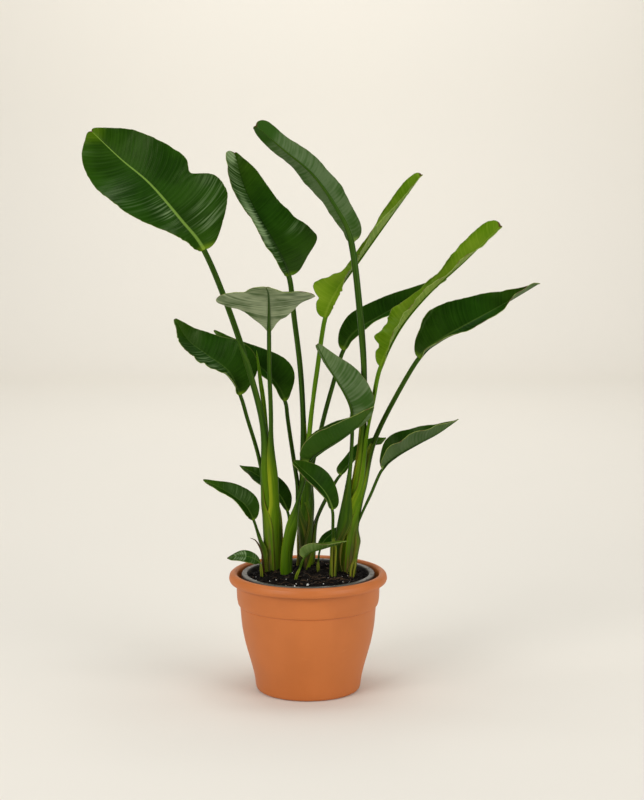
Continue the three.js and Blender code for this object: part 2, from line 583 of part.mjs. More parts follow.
        name: 'leaf', sheath: 2.4, mouth: 20, petiole: [2, 1.6], mesh: [5, 2], rings: 4,
        stalk: [[19, 14, 221]],
        blade: [[27, 18, 235], [39, 22, 245], [55, 26, 256]],
        left: [5, 8, 8, 5, 2], right: [6, 14, 15, 10, 3],
        face: [[-0.2, -1, 0.8], [-0.2, -1, 0.8], [-0.2, -1, 0.8]], fold: [[30, 25, 20], [30, 25, 20]], wave: [0.5, 2, 0],
      },
    ],
  },
  {
    name: 'low_front', axis: [[-19, -34, 183], [-12, -35, 202]],
    leaves: [
      {
        name: 'leaf', young: true, sheath: 2.4, mouth: 20, petiole: [2, 1.7], mesh: [6, 2], rings: 4,
        stalk: [[-6, -36, 219]],
        blade: [[5, -38, 228], [20, -40, 233], [39, -42, 239], [60, -44, 246]],
        left: [13, 13, 8, 6, 3], right: [14, 14, 8, 6, 3],
        face: [[-0.3, -0.1, 1], [-0.3, -0.1, 1], [-0.3, -0.1, 1]],
        fold: [[60, 70, 70], [60, 70, 70]], curl: [[30, 30, 30], [30, 30, 30]], wave: [0.4, 2, 0],
      },
    ],
  },
  {
    name: 'new', axis: [[69, -14, 183], [72, -15, 202]],
    leaves: [{ name: 'sprout', young: true, sheath: 4, mouth: 30, petiole: [3, 2], rings: 4, stalk: [[78, -17, 222]] }],
  },
  {
    name: 'dry', axis: [[-70, 4, 181], [-73, -2, 218]],
    leaves: [{ name: 'sheath_tip', sheath: 2, mouth: 20, petiole: [1.8, 1.2], rings: 6, stalk: [[-82, 0, 237], [-92, 0, 242]] }],
  },
];

// ---------------------------------------------------------------- colours
const FINISHES = {
  terracotta: new THREE.MeshStandardMaterial({ color: 0xbf6c36, roughness: 0.45 }),
  liner: new THREE.MeshStandardMaterial({ color: 0x84857d, roughness: 0.6 }),
  soil: new THREE.MeshStandardMaterial({ color: 0x1f1813, roughness: 0.95 }),
  leaf: new THREE.MeshStandardMaterial({ color: 0x2f5a1c, roughness: 0.4 }),
  youngLeaf: new THREE.MeshStandardMaterial({ color: 0x8aa533, roughness: 0.45 }),
};

// ---------------------------------------------------------------- assembly
const plant = new THREE.Group();

function place(name, solid, finish) {
  const mesh = new THREE.Mesh(toGeometry(solid), finish);
  mesh.name = name;
  plant.add(mesh);
}

const stems = [];
for (const shoot of SHOOTS) {
  const younger = [];
  let outermost;
  for (const plan of shoot.leaves) {
    const leaf = grownLeaf(plan, shoot);
    const whole = leaf.blade ? stalk(leaf).add(blade(leaf)) : stalk(leaf);
    const clear = younger.reduce((body, room) => body.subtract(room), whole);
    younger.push(stalkRoom(leaf, GAP));
    place(`${shoot.name}_${plan.name}`, biggestBody(clear), plan.young ? FINISHES.youngLeaf : FINISHES.leaf);
    outermost = leaf;
  }
  stems.push(stalkRoom(outermost, GAP, -GAP, ROOT_DEPTH + CLEAR_OF_SOIL));
}
place('outer_pot', outerPot(), FINISHES.terracotta);
place('nursery_pot', nurseryPot(), FINISHES.liner);
place('soil', biggestBody(soil(stems)), FINISHES.soil);

export default plant;
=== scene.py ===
"""A potted giant bird of paradise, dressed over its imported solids.

Everything is in metres in the part's own frame: the origin is the centre of the outer pot's
underside, +Z is up and the camera looks along +Y. Sizes in the classes are millimetres.
"""

import json
import logging
import math
import random
from bisect import bisect_left
from dataclasses import dataclass, field
from enum import Enum

import bmesh
import bpy
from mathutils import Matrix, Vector, noise

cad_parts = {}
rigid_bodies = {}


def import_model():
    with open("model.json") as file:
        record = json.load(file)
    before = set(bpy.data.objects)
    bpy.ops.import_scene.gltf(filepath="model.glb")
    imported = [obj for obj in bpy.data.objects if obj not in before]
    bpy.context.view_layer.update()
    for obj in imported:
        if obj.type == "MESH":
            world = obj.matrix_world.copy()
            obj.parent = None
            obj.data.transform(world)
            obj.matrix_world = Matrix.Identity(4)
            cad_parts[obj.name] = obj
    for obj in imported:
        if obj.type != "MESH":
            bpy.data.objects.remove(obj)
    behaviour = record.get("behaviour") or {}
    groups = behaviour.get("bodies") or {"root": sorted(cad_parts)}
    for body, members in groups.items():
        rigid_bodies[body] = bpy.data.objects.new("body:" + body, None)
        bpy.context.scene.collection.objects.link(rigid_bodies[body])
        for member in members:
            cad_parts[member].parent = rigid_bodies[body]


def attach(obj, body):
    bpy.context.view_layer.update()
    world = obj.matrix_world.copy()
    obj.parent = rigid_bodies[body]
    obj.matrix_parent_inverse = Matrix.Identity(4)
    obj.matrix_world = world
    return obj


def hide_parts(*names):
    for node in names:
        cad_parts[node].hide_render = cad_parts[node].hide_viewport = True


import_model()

LOG = logging.getLogger("bird_of_paradise")
MM = 0.001
SEED = 29
BODY = "root"
LEFT, RIGHT = -1, 1   # the two halves of a blade

Point = tuple[float, float, float]
Keys = tuple[float, float, float]


# ------------------------------------------------------------------ small mathematics
def clamp01(value: float) -> float:
    """Keep a value between 0 and 1."""
    return min(1.0, max(0.0, value))


def ease(t: float) -> float:
    """Smooth step from 0 to 1."""
    return t * t * (3 - 2 * t)


def ramp(value: float, start: float, end: float) -> float:
    """Smooth step of a value between two limits."""
    return ease(clamp01((value - start) / (end - start)))


def mix(a: float, b: float, t: float) -> float:
    """Straight blend of two numbers."""
    return a + (b - a) * t


def along_keys(keys: Keys, t: float) -> float:
    """Value at t of three keys, with an easy turn at the middle one."""
    start, middle, end = keys
    return mix(start, middle, ease(t * 2)) if t < 0.5 else mix(middle, end, ease(t * 2 - 1))


def along_directions(keys: tuple[Point, Point, Point], t: float) -> Vector:
    """Direction at t of three direction keys."""
    return Vector([along_keys(tuple(key[axis] for key in keys), t) for axis in range(3)])


def through_values(values: list[float], parameter: float) -> float:
    """Uniform Catmull-Rom value through a list of numbers.

    Args:
        values: The numbers that the curve passes.
        parameter: Place on the curve, counted in steps of the list.

    Returns:
        The curve's value there.
    """
    last = len(values) - 1
    index = min(int(parameter), last - 1)
    t = parameter - index
    p1, p2 = values[index], values[index + 1]
    p0 = values[index - 1] if index > 0 else 2 * p1 - p2
    p3 = values[index + 2] if index + 2 <= last else 2 * p2 - p1
    m1, m2 = (p2 - p0) / 2, (p3 - p1) / 2
    return (2 * p1 - 2 * p2 + m1 + m2) * t**3 + (-3 * p1 + 3 * p2 - 2 * m1 - m2) * t * t + m1 * t + p1


def wander(place: float, lane: float) -> float:
    """Smooth seeded noise in one dimension, about -1 to 1."""
    return noise.noise(Vector((place, lane * 7.31, SEED * 0.37)))


class Spine:
    """A smooth line through points, which can be read at any distance along it."""

    STEPS = 40

    def __init__(self, points: list[Point]) -> None:
        """Sample the line.

        Args:
            points: What the line passes, in millimetres.
        """
        columns = [[point[axis] for point in points] for axis in range(3)]
        count = (len(points) - 1) * self.STEPS
        self.line = [
            Vector([through_values(column, step / self.STEPS) for column in columns])
            for step in range(count + 1)
        ]
        self.reach = [0.0]
        for before, after in zip(self.line, self.line[1:]):
            self.reach.append(self.reach[-1] + (after - before).length)
        self.length = self.reach[-1]

    def reach_of(self, index: int) -> float:
        """Distance along the line of one of its points."""
        return self.reach[index * self.STEPS]

    def at(self, distance: float) -> Vector:
        """Place at a distance, kept on the line.

        Args:
            distance: Millimetres from its start.

        Returns:
            The place.
        """
        wanted = min(max(distance, 0.0), self.length)
        high = max(1, bisect_left(self.reach, wanted))
        share = (wanted - self.reach[high - 1]) / (self.reach[high] - self.reach[high - 1])
        return self.line[high - 1].lerp(self.line[high], share)

    def frame_at(self, distance: float, facing: Vector) -> tuple[Vector, Vector, Vector, Vector]:
        """Directions on the line.

        Args:
            distance: Millimetres from its start.
            facing: Roughly where the upper face looks.

        Returns:
            The place, and the forward, upper and side directions.
        """
        forward = (self.at(distance + 2) - self.at(distance - 2)).normalized()
        upper = (facing - forward * facing.dot(forward)).normalized()
        return self.at(distance), forward, upper, forward.cross(upper)


# ------------------------------------------------------------------ materials
# How a pattern on a blade's grain is pulled out, so that its lines follow the veins.
ALONG_VEINS = (0.06, 0.0, 1.0)
ALONG_STRANDS = (0.03, 0.0, 1.0)
ALONG_RUBBED = (0.05, 0.0, 1.0)
WAVE_TURNS = 20   # a Wave texture of scale 1 has this many radians to the metre


def linear(colour: str) -> tuple[float, float, float, float]:
    """Linear colour of an sRGB hex value such as "#bf6c36"."""
    parts = [int(colour[at : at + 2], 16) / 255 for at in (1, 3, 5)]
    return (*[part / 12.92 if part <= 0.04045 else ((part + 0.055) / 1.055) ** 2.4 for part in parts], 1.0)


def add_node(
    tree: bpy.types.NodeTree, kind: str, inputs: dict | None = None, **settings: object
) -> bpy.types.Node:
    """Add a node with its settings and links.

    Args:
        tree: Where the node goes.
        kind: Its bl_idname.
        inputs: A value or an output socket for each named or numbered input.
        settings: Its own properties.

    Returns:
        The node.
    """
    node = tree.nodes.new(kind)
    for name, value in settings.items():
        setattr(node, name, value)
    for name, value in (inputs or {}).items():
        if isinstance(value, bpy.types.NodeSocket):
            tree.links.new(value, node.inputs[name])
        else:
            node.inputs[name].default_value = value
    return node


class Surface:
    """One material being built: the shader, and the few patterns that its finishes share."""

    def __init__(self, name: str, **constants: object) -> None:
        """Start a material.

        Args:
            name: The material's name.
            constants: Values set on the shader's own sockets, spaces written as _.
        """
        self.material = bpy.data.materials.new(name)
        self.material.use_nodes = True
        self.tree = self.material.node_tree
        self.shader = self.tree.nodes["Principled BSDF"]
        for key, value in constants.items():
            self.shader.inputs[key.replace("_", " ")].default_value = value

    def node(self, kind: str, inputs: dict | None = None, **settings: object) -> bpy.types.Node:
        """Add a node to this material."""
        return add_node(self.tree, kind, inputs, **settings)

    def attribute(self, name: str, output: str = "Vector") -> bpy.types.NodeSocket:
        """Socket of an attribute that the mesh carries."""
        return self.node("ShaderNodeAttribute", attribute_name=name).outputs[output]

    def parts_of(self, vector: bpy.types.NodeSocket) -> list[bpy.types.NodeSocket]:
        """The three numbers of a vector."""
        return list(self.node("ShaderNodeSeparateXYZ", {0: vector}).outputs)

    def objects(self) -> bpy.types.NodeSocket:
        """Object coordinates, in metres."""
        return self.node("ShaderNodeTexCoord").outputs["Object"]

    def maths(self, operation: str, a: object, b: object = 0.0, clamp: bool = False) -> bpy.types.NodeSocket:
        """One sum of two values or sockets."""
        return self.node("ShaderNodeMath", {0: a, 1: b}, operation=operation, use_clamp=clamp).outputs[0]

    def spread(
        self, value: object, low: float, high: float, to_low: float = 0.0, to_high: float = 1.0
    ) -> bpy.types.NodeSocket:
        """Smoothly map a value from one range to another, and keep it inside.

        Args:
            value: A number or a socket.
            low: What maps to to_low.
            high: What maps to to_high; it may be below low.
            to_low: Result at low.
            to_high: Result at high.

        Returns:
            The result's socket.
        """
        inputs = {"Value": value, "From Min": low, "From Max": high, "To Min": to_low, "To Max": to_high}
        return self.node("ShaderNodeMapRange", inputs, interpolation_type="SMOOTHSTEP").outputs[0]

    def stretched(self, vector: object, scale: Point) -> bpy.types.NodeSocket:
        """A vector multiplied, part by part."""
        return self.node("ShaderNodeVectorMath", {0: vector, 1: scale}, operation="MULTIPLY").outputs[0]

    def speckle(
        self, vector: object, size_mm: float, detail: float = 2.0, roughness: float = 0.5
    ) -> bpy.types.NodeSocket:
        """Noise with features of a real size, about 0.3 to 0.7.

        Args:
            vector: The coordinates, in metres.
            size_mm: Size of its largest features, in millimetres.
            detail: How many finer layers it has.
            roughness: How strong those are.

        Returns:
            The noise's socket.
        """
        inputs = {"Vector": vector, "Scale": 1 / (size_mm * MM), "Detail": detail, "Roughness": roughness}
        return self.node("ShaderNodeTexNoise", inputs).outputs[0]

    def ribs(self, vector: object, period_mm: float, distortion: float) -> bpy.types.NodeSocket:
        """Even parallel lines across the vector's Z, 0 to 1, a real distance apart.

        Args:
            vector: The coordinates, in metres.
            period_mm: From one line to the next, in millimetres.
            distortion: How much they wander.

        Returns:
            The socket of their height.
        """
        scale = math.tau / WAVE_TURNS / (period_mm * MM)
        inputs = {
            "Vector": vector, "Scale": scale, "Distortion": distortion, "Detail": 1.0, "Detail Scale": 0.6
        }
        return self.node("ShaderNodeTexWave", inputs, wave_type="BANDS", bands_direction="Z").outputs[1]

    def blended(self, factor: object, a: object, b: object) -> bpy.types.NodeSocket:
        """Colour between two colours.

        Args:
            factor: 0 for a, 1 for b; a number or a socket.
            a: A hex value or a socket.
            b: A hex value or a socket.

        Returns:
            The colour's socket.
        """
        a, b = [linear(colour) if isinstance(colour, str) else colour for colour in (a, b)]
        return self.node("ShaderNodeMix", {0: factor, 6: a, 7: b}, data_type="RGBA").outputs[2]

    def raised(self, height: object, depth_mm: float, under: object = None) -> bpy.types.NodeSocket:
        """Normal of a bump of a real depth, over another bump if one is given.

        Args:
            height: The relief's socket, 0 to 1.
            depth_mm: Its full depth, in millimetres.
            under: The normal of the bump below it.

        Returns:
            The normal's socket.
        """
        inputs = {"Height": height, "Distance": depth_mm * MM, "Strength": 1.0}
        if under is not None:
            inputs["Normal"] = under
        return self.node("ShaderNodeBump", inputs).outputs[0]

    def finish(self, **sockets: object) -> bpy.types.Material:
        """Link the shader's inputs and hand the material over.

        Args:
            sockets: What drives each of the shader's inputs, spaces written as _.

        Returns:
            The material.
        """
        for key, socket in sockets.items():
            self.tree.links.new(socket, self.shader.inputs[key.replace("_", " ")])
        return self.material


@dataclass(frozen=True)
class BladeUpper:
    """Waxy upper face of a leaf blade: deep green when grown, lime when young."""

    grown: str = "#0f2d01"
    grown_light: str = "#264f07"
    young: str = "#547804"
    young_light: str = "#8ca32c"
    rib: str = "#7a9a42"
    # groove is a painted shade: the dark colour that a midrib with rib below 0 takes, as the shadow in its
    # groove
    groove: str = "#0b2203"
    # bloom is a painted sheen: the pale grey-green painted where light glides over the wax
    bloom: str = "#8aa172"
    edge: str = "#66702c"
    dry: str = "#4a3018"
    vein_mm: float = 6.5       # between the veins that show as light lines
    fine_mm: float = 2.4       # real ones are 1 mm apart; drawn coarser so that they show
    strand_mm: float = 3.0     # width of the pale streaks along the veins, and of the painted sheen's streaks
    cloud_mm: float = 45.0     # size of the darker and lighter patches
    vein_relief_mm: float = 0.07
    fine_relief_mm: float = 0.03

    def make(self) -> bpy.types.Material:
        """Living leaf with a thin wax: satin gloss that breaks up along the veins, painted sheen in streaks
        along them, and a painted shade in a sunk midrib's groove.

        Returns:
            The material.
        """
        s = Surface("leaf_upper_waxy", IOR=1.45, Specular_IOR_Level=0.14, Specular_Tint=linear("#e8ffb0"))
        grain = s.attribute("grain")
        youth, edge, dry = s.parts_of(s.attribute("tint"))
        rib, sheen, _ = s.parts_of(s.attribute("skin"))
        veins = s.ribs(s.stretched(grain, ALONG_VEINS), self.vein_mm, 1.6)
        fine = s.ribs(s.stretched(grain, ALONG_VEINS), self.fine_mm, 1.2)
        strands = s.speckle(s.stretched(grain, ALONG_STRANDS), self.strand_mm, 1.5)
        cloud = s.speckle(s.objects(), self.cloud_mm, 2.0)
        patches = s.spread(cloud, 0.35, 0.7, 0.0, 0.4)
        grown = s.blended(patches, self.grown, self.grown_light)
        young = s.blended(patches, self.young, self.young_light)
        flesh = s.blended(youth, grown, young)
        pale = s.blended(youth, self.grown_light, self.young_light)
        flesh = s.blended(s.spread(veins, 0.8, 1.0, 0.0, 0.12), flesh, pale)
        flesh = s.blended(s.spread(fine, 0.5, 1.0, 0.0, 0.08), flesh, pale)
        flesh = s.blended(s.spread(strands, 0.45, 0.7, 0.0, 0.18), flesh, pale)
        # painted sheen: pale streaks along the veins, painted where the blade's Sheen patches lie
        thin, even = s.spread(strands, 0.46, 0.64, 0.02, 0.8), s.spread(sheen, 0.6, 1.0, 0.0, 0.6)
        streaks = s.maths("ADD", thin, even, clamp=True)
        flesh = s.blended(s.maths("MULTIPLY", sheen, streaks), flesh, self.bloom)
        midrib = s.blended(youth, self.rib, self.young_light)
        flesh = s.blended(s.maths("MAXIMUM", rib, 0.0), flesh, midrib)
        # painted shade: a rib below 0 darkens the midrib towards the groove colour, as the shadow in its
        # groove
        painted_groove_shade = s.maths("MAXIMUM", s.maths("MULTIPLY", rib, -1.0), 0.0)
        flesh = s.blended(painted_groove_shade, flesh, self.groove)
        flesh = s.blended(s.maths("MULTIPLY", edge, 0.7), flesh, self.edge)
        flesh = s.blended(dry, flesh, self.dry)
        bump = s.raised(veins, self.vein_relief_mm, s.raised(fine, self.fine_relief_mm))
        worn = s.maths("ADD", strands, s.maths("MULTIPLY", cloud, 0.5))
        return s.finish(Base_Color=flesh, Normal=bump, Roughness=s.spread(worn, 0.5, 1.0, 0.26, 0.4))


@dataclass(frozen=True)
class BladeUnder:
    """Underside of a blade: green under a grey bloom of wax, matt, with the veins a little darker."""

    grown: str = "#284a09"
    frost: str = "#9aa683"
    young: str = "#879f40"
    young_dark: str = "#5f8222"
    edge: str = "#7c7440"
    dry: str = "#4a3018"
    vein_mm: float = 5.0       # between the veins that show
    strand_mm: float = 5.0     # width of the streaks that the bloom is rubbed into
    cloud_mm: float = 38.0     # size of its thick and thin patches
    vein_relief_mm: float = 0.16

    def make(self) -> bpy.types.Material:
        """Living leaf's underside with a bloom of wax: no clear gloss.

        Returns:
            The material.
        """
        s = Surface("leaf_underside_bloom", IOR=1.42, Specular_IOR_Level=0.14)
        grain = s.attribute("grain")
        youth, edge, dry = s.parts_of(s.attribute("tint"))
        frost = s.parts_of(s.attribute("skin"))[2]
        veins = s.ribs(s.stretched(grain, ALONG_VEINS), self.vein_mm, 1.8)
        strands = s.speckle(s.stretched(grain, ALONG_RUBBED), self.strand_mm, 2.0)
        cloud = s.speckle(s.objects(), self.cloud_mm, 2.0)
        rubbed = s.maths("ADD", s.maths("ADD", cloud, strands), s.maths("MULTIPLY", veins, 0.1))
        bloom = s.spread(rubbed, 0.72, 1.25, 0.1, 1.0)
        flesh = s.blended(s.maths("MULTIPLY", bloom, frost), self.grown, self.frost)
        flesh = s.blended(youth, flesh, s.blended(bloom, self.young_dark, self.young))
        flesh = s.blended(s.maths("MULTIPLY", edge, 0.5), flesh, self.edge)
        flesh = s.blended(dry, flesh, self.dry)
        bump = s.raised(veins, self.vein_relief_mm)
        return s.finish(Base_Color=flesh, Normal=bump, Roughness=s.spread(cloud, 0.3, 0.7, 0.46, 0.6))


@dataclass(frozen=True)
class BladeMargin:
    """The thin hard margin of a blade, yellow-green turning brown."""

    fresh: str = "#7d8f3e"
    brown: str = "#5b3d20"
    patch_mm: float = 14.0     # length of a dried stretch

    def make(self) -> bpy.types.Material:
        """Horny leaf margin, dried in places.

        Returns:
            The material.
        """
        s = Surface("leaf_margin_horny", IOR=1.45)
        patches = s.spread(s.speckle(s.objects(), self.patch_mm, 3.0), 0.5, 0.62)
        skin = s.blended(patches, self.fresh, self.brown)
        return s.finish(Base_Color=skin, Roughness=s.spread(patches, 0.0, 1.0, 0.4, 0.6))


@dataclass(frozen=True)
class StalkSkin:
    """Skin of petioles and sheaths: green petiole, olive to yellow sheath that browns at its foot."""

    petiole: str = "#1e3b05"
    petiole_light: str = "#305112"
    young: str = "#587f0c"
    sheath_deep: str = "#213d04"
    sheath: str = "#4d7004"
    sheath_light: str = "#9aa81e"
    lining: str = "#8fa234"
    foot: str = "#7d6434"
    purple: str = "#553f34"
    margin: str = "#75652c"
    dry: str = "#4a3620"
    streak_mm: float = 1.8     # width of the fine streaks along the stalk
    band_mm: float = 8.0       # width of the broad ones
    blotch_mm: float = 5.0
    streak_relief_mm: float = 0.22
    blotch_relief_mm: float = 0.12
    soil_line: float = 0.183   # the mix's height, in metres
    rust_reach: float = 0.11   # how far above it the foot's brown goes, in metres

    def make(self) -> bpy.types.Material:
        """Fibrous leaf stalk under a smooth wax: long fine streaks, satin gloss.

        Returns:
            The material.
        """
        s = Surface("stalk_skin_streaked", IOR=1.45, Specular_IOR_Level=0.17, Specular_Tint=linear("#eeffc0"))
        grain = s.attribute("grain")
        youth, edge, dry = s.parts_of(s.attribute("tint"))
        free, worn, tone = s.parts_of(s.attribute("skin"))
        lining = s.attribute("lining", "Fac")
        height = s.parts_of(s.objects())[2]
        streaks = s.speckle(s.stretched(grain, (1.0, 1.0, 0.03)), self.streak_mm, 2.0)
        bands = s.speckle(s.stretched(grain, (1.0, 1.0, 0.05)), self.band_mm, 2.0)
        blotch = s.speckle(s.stretched(grain, (1.0, 1.0, 0.2)), self.blotch_mm, 3.0)
        grown = s.blended(s.spread(bands, 0.3, 0.7), self.petiole, self.petiole_light)
        petiole = s.blended(youth, grown, self.young)
        yellow = s.maths("ADD", tone, s.spread(bands, 0.3, 0.7, -0.14, 0.14))
        bright = s.blended(s.spread(yellow, 0.5, 1.0), self.sheath, self.sheath_light)
        sheath = s.blended(s.spread(yellow, 0.0, 0.5), self.sheath_deep, bright)
        flesh = s.blended(free, sheath, petiole)
        flesh = s.blended(s.spread(streaks, 0.5, 0.75, 0.0, 0.16), flesh, self.sheath_light)
        low = s.spread(height, self.soil_line + self.rust_reach, self.soil_line - 0.004)
        rust = s.maths("MULTIPLY", s.maths("MULTIPLY", low, worn), s.spread(streaks, 0.36, 0.6))
        brown = s.blended(s.spread(blotch, 0.4, 0.6), self.foot, self.purple)
        flesh = s.blended(s.maths("MULTIPLY", rust, 0.9), flesh, brown)
        flesh = s.blended(s.maths("MULTIPLY", lining, 0.75), flesh, self.lining)
        line = s.maths("MULTIPLY", edge, s.spread(worn, 0.05, 0.8, 0.15, 0.6))
        flesh = s.blended(s.maths("MULTIPLY", line, s.spread(free, 1.0, 0.55)), flesh, self.margin)
        flesh = s.blended(dry, flesh, self.dry)
        bump = s.raised(streaks, self.streak_relief_mm, s.raised(blotch, self.blotch_relief_mm))
        return s.finish(Base_Color=flesh, Normal=bump, Roughness=s.spread(streaks, 0.3, 0.7, 0.3, 0.44))


@dataclass(frozen=True)
class PotPlastic:
    """Terracotta-coloured polypropylene, injection moulded with a fine satin grain."""

    colour: str = "#c36d2e"
    shade: str = "#bd6829"
    scuff: str = "#d08a54"
    cloud_mm: float = 60.0     # size of the faint flow clouds of the moulding
    rub_mm: float = 26.0       # length of a rub mark
    grain_mm: float = 1.1      # a real satin grain is about 0.2 mm; drawn coarser so that it shows
    grain_relief_mm: float = 0.05

    def make(self) -> bpy.types.Material:
        """Moulded polypropylene: even colour, soft sheen, faint flow clouds and rub marks.

        Returns:
            The material.
        """
        s = Surface("polypropylene_terracotta_satin", IOR=1.49, Specular_IOR_Level=0.5)
        place = s.objects()
        clouds = s.speckle(s.stretched(place, (1.0, 1.0, 0.7)), self.cloud_mm, 3.0)
        grain = s.speckle(place, self.grain_mm, 2.0)
        rub = s.spread(s.speckle(s.stretched(place, (1.0, 1.0, 3.0)), self.rub_mm, 5.0, 0.65), 0.62, 0.75)
        skin = s.blended(s.spread(clouds, 0.35, 0.65), self.shade, self.colour)
        skin = s.blended(s.maths("MULTIPLY", rub, 0.18), skin, self.scuff)
        rough = s.maths("ADD", s.spread(clouds, 0.3, 0.7, 0.44, 0.54), s.maths("MULTIPLY", rub, 0.1))
        return s.finish(Base_Color=skin, Normal=s.raised(grain, self.grain_relief_mm), Roughness=rough)


@dataclass(frozen=True)
class LinerPlastic:
    """Grey recycled plastic of a nursery pot, thin, with dried soil on it and a painted shade above the mix.
    """

    colour: str = "#454441"
    light: str = "#5f5d58"
    stain_and_shade: str = "#241d17"
    smear_mm: float = 9.0      # size of a smear of dried mix
    cloud_mm: float = 30.0     # size of the plastic's paler patches
    grain_mm: float = 1.0      # the real grain is finer; drawn coarser so that it shows
    smear_relief_mm: float = 0.2
    grain_relief_mm: float = 0.04
    shade_starts: float = 0.1868   # heights in metres: above this the rim has no painted shade, and below this the wall is painted fully dark as shade
    full_shade_below: float = 0.1825   # and below this the wall is covered

    def make(self) -> bpy.types.Material:
        """Thermoformed grey plastic: satin, smeared with dried potting mix, and painted dark as shade below
        the rim.

        Returns:
            The material.
        """
        s = Surface("liner_plastic_grey_soiled_shaded", IOR=1.49)
        place = s.objects()
        smear = s.spread(s.speckle(place, self.smear_mm, 4.0, 0.6), 0.5, 0.66)
        # painted shade: the wall is darkened from below the rim down to the mix; the smears are dried mix
        low = s.spread(s.parts_of(place)[2], self.shade_starts, self.full_shade_below)
        dirt_and_shade = s.maths("MAXIMUM", s.maths("MULTIPLY", smear, 0.5), s.maths("MULTIPLY", low, 0.93))
        skin = s.blended(s.speckle(place, self.cloud_mm), self.colour, self.light)
        skin = s.blended(dirt_and_shade, skin, self.stain_and_shade)
        grain = s.raised(s.speckle(place, self.grain_mm), self.grain_relief_mm)
        bump = s.raised(smear, self.smear_relief_mm, grain)
        return s.finish(Base_Color=skin, Normal=bump, Roughness=s.spread(dirt_and_shade, 0.0, 1.0, 0.38, 0.85))


@dataclass(frozen=True)
class MixPeat:
    """Moist peat and composted bark: near black, crumbly, with brown fibre."""

    dark: str = "#060403"
    brown: str = "#1c130c"
    crumb_mm: float = 3.0
    lump_mm: float = 11.0
    crumb_relief_mm: float = 1.6
    lump_relief_mm: float = 2.5

    def make(self) -> bpy.types.Material:
        """Damp potting mix: rough crumbs of 1 to 5 mm, a few of them glinting.

        Returns:
            The material.
        """
        s = Surface("potting_mix_damp", IOR=1.4, Specular_IOR_Level=0.2)
        place = s.objects()
        crumbs = s.speckle(place, self.crumb_mm, 5.0, 0.65)
        lumps = s.speckle(place, self.lump_mm, 3.0, 0.6)
        skin = s.blended(s.spread(crumbs, 0.42, 0.68), self.dark, self.brown)
        bump = s.raised(crumbs, self.crumb_relief_mm, s.raised(lumps, self.lump_relief_mm))
        return s.finish(Base_Color=skin, Normal=bump, Roughness=s.spread(lumps, 0.35, 0.65, 0.62, 0.95))


@dataclass(frozen=True)
class MixGrain:
    """Loose bits of the mix, each with its own shade from the mesh: bark, fibre or perlite."""

    name: str
    dark: str
    light: str
    rough: float
    pit_mm: float = 1.2
    relief_mm: float = 0.35

    def make(self) -> bpy.types.Material:
        """Broken bark, fibre or expanded perlite, by the colours given.

        Returns:
            The material.
        """
        s = Surface(self.name, IOR=1.45)
        place = s.objects()
        pits = s.speckle(place, self.pit_mm, 4.0, 0.6)
        uneven = s.spread(pits, 0.3, 0.7, -0.25, 0.25)
        shade = s.maths("ADD", s.attribute("shade", "Fac"), uneven, clamp=True)
        skin = s.blended(shade, self.dark, self.light)
        rough = s.spread(pits, 0.3, 0.7, self.rough - 0.1, self.rough + 0.05)
        return s.finish(Base_Color=skin, Normal=s.raised(pits, self.relief_mm), Roughness=rough)


@dataclass(frozen=True)
class StudioPaper:
    """Cream seamless paper of the floor and backdrop."""

    colour: str = "#ece7dd"
    cooler: str = "#e9e5dc"
    tone_mm: float = 900.0     # size of its slow change of tone
    fibre_mm: float = 2.0

    def make(self) -> bpy.types.Material:
        """Matt background paper.

        Returns:
            The material.
        """
        s = Surface("studio_paper_cream", IOR=1.3, Specular_IOR_Level=0.1)
        skin = s.blended(s.speckle(s.objects(), self.tone_mm), self.colour, self.cooler)
        fibres = s.speckle(s.objects(), self.fibre_mm)
        return s.finish(Base_Color=skin, Roughness=s.spread(fibres, 0.3, 0.7, 0.88, 0.95))


class Finish(Enum):
    """The finishes of the whole object."""

    UPPER = BladeUpper()
    UNDER = BladeUnder()
    MARGIN = BladeMargin()
    STALK = StalkSkin()
    POT = PotPlastic()
    LINER = LinerPlastic()
    PEAT = MixPeat()
    BARK = MixGrain("bark_chips_composted", "#0b0705", "#46301d", 0.85)
    FIBRE = MixGrain("coconut_fibre", "#1c120a", "#6a5035", 0.8)
    PERLITE = MixGrain("perlite_expanded", "#b9b4aa", "#f4f2ec", 0.9)
    PAPER = StudioPaper()


class Palette:
    """Makes each finish once and hands out its material."""

    def __init__(self) -> None:
        """Start with no material made."""
        self.made: dict[Finish, bpy.types.Material] = {}

    def __getitem__(self, finish: Finish) -> bpy.types.Material:
        """The material of a finish, made when it is first asked for.

        Args:
            finish: Which one.

        Returns:
            The material.
        """
        if finish not in self.made:
            self.made[finish] = finish.value.make()
        return self.made[finish]


# ------------------------------------------------------------------ pieces
def finished(bm: bmesh.types.BMesh, name: str, materials: list[bpy.types.Material]) -> bpy.types.Object:
    """Turn a bmesh in millimetres into an object at the origin, in metres.

    Args:
        bm: The shape; it is freed.
        name: The object's name.
        materials: Its material slots.

    Returns:
        The object, smooth shaded and linked to the scene.
    """
    bmesh.ops.scale(bm, vec=(MM, MM, MM), verts=bm.verts)
    for face in bm.faces:
        face.smooth = True
    mesh = bpy.data.meshes.new(name)
    bm.to_mesh(mesh)
    bm.free()
    for material in materials:
        mesh.materials.append(material)
    piece = bpy.data.objects.new(name, mesh)
    bpy.context.scene.collection.objects.link(piece)
    return piece


def hand_over(piece: bpy.types.Object, slot: str, *nodes: str) -> bpy.types.Object:
    """Let a piece ride on the plant, stand for its solids and be reported.

    Args:
        piece: The finished object.
        slot: The record's material slot; not used.
        nodes: The solids that it stands for.

    Returns:
        The same object.
    """
    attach(piece, BODY)
    if nodes:
        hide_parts(*nodes)
    LOG.info("%s: %d faces", piece.name, len(piece.data.polygons))
    return piece


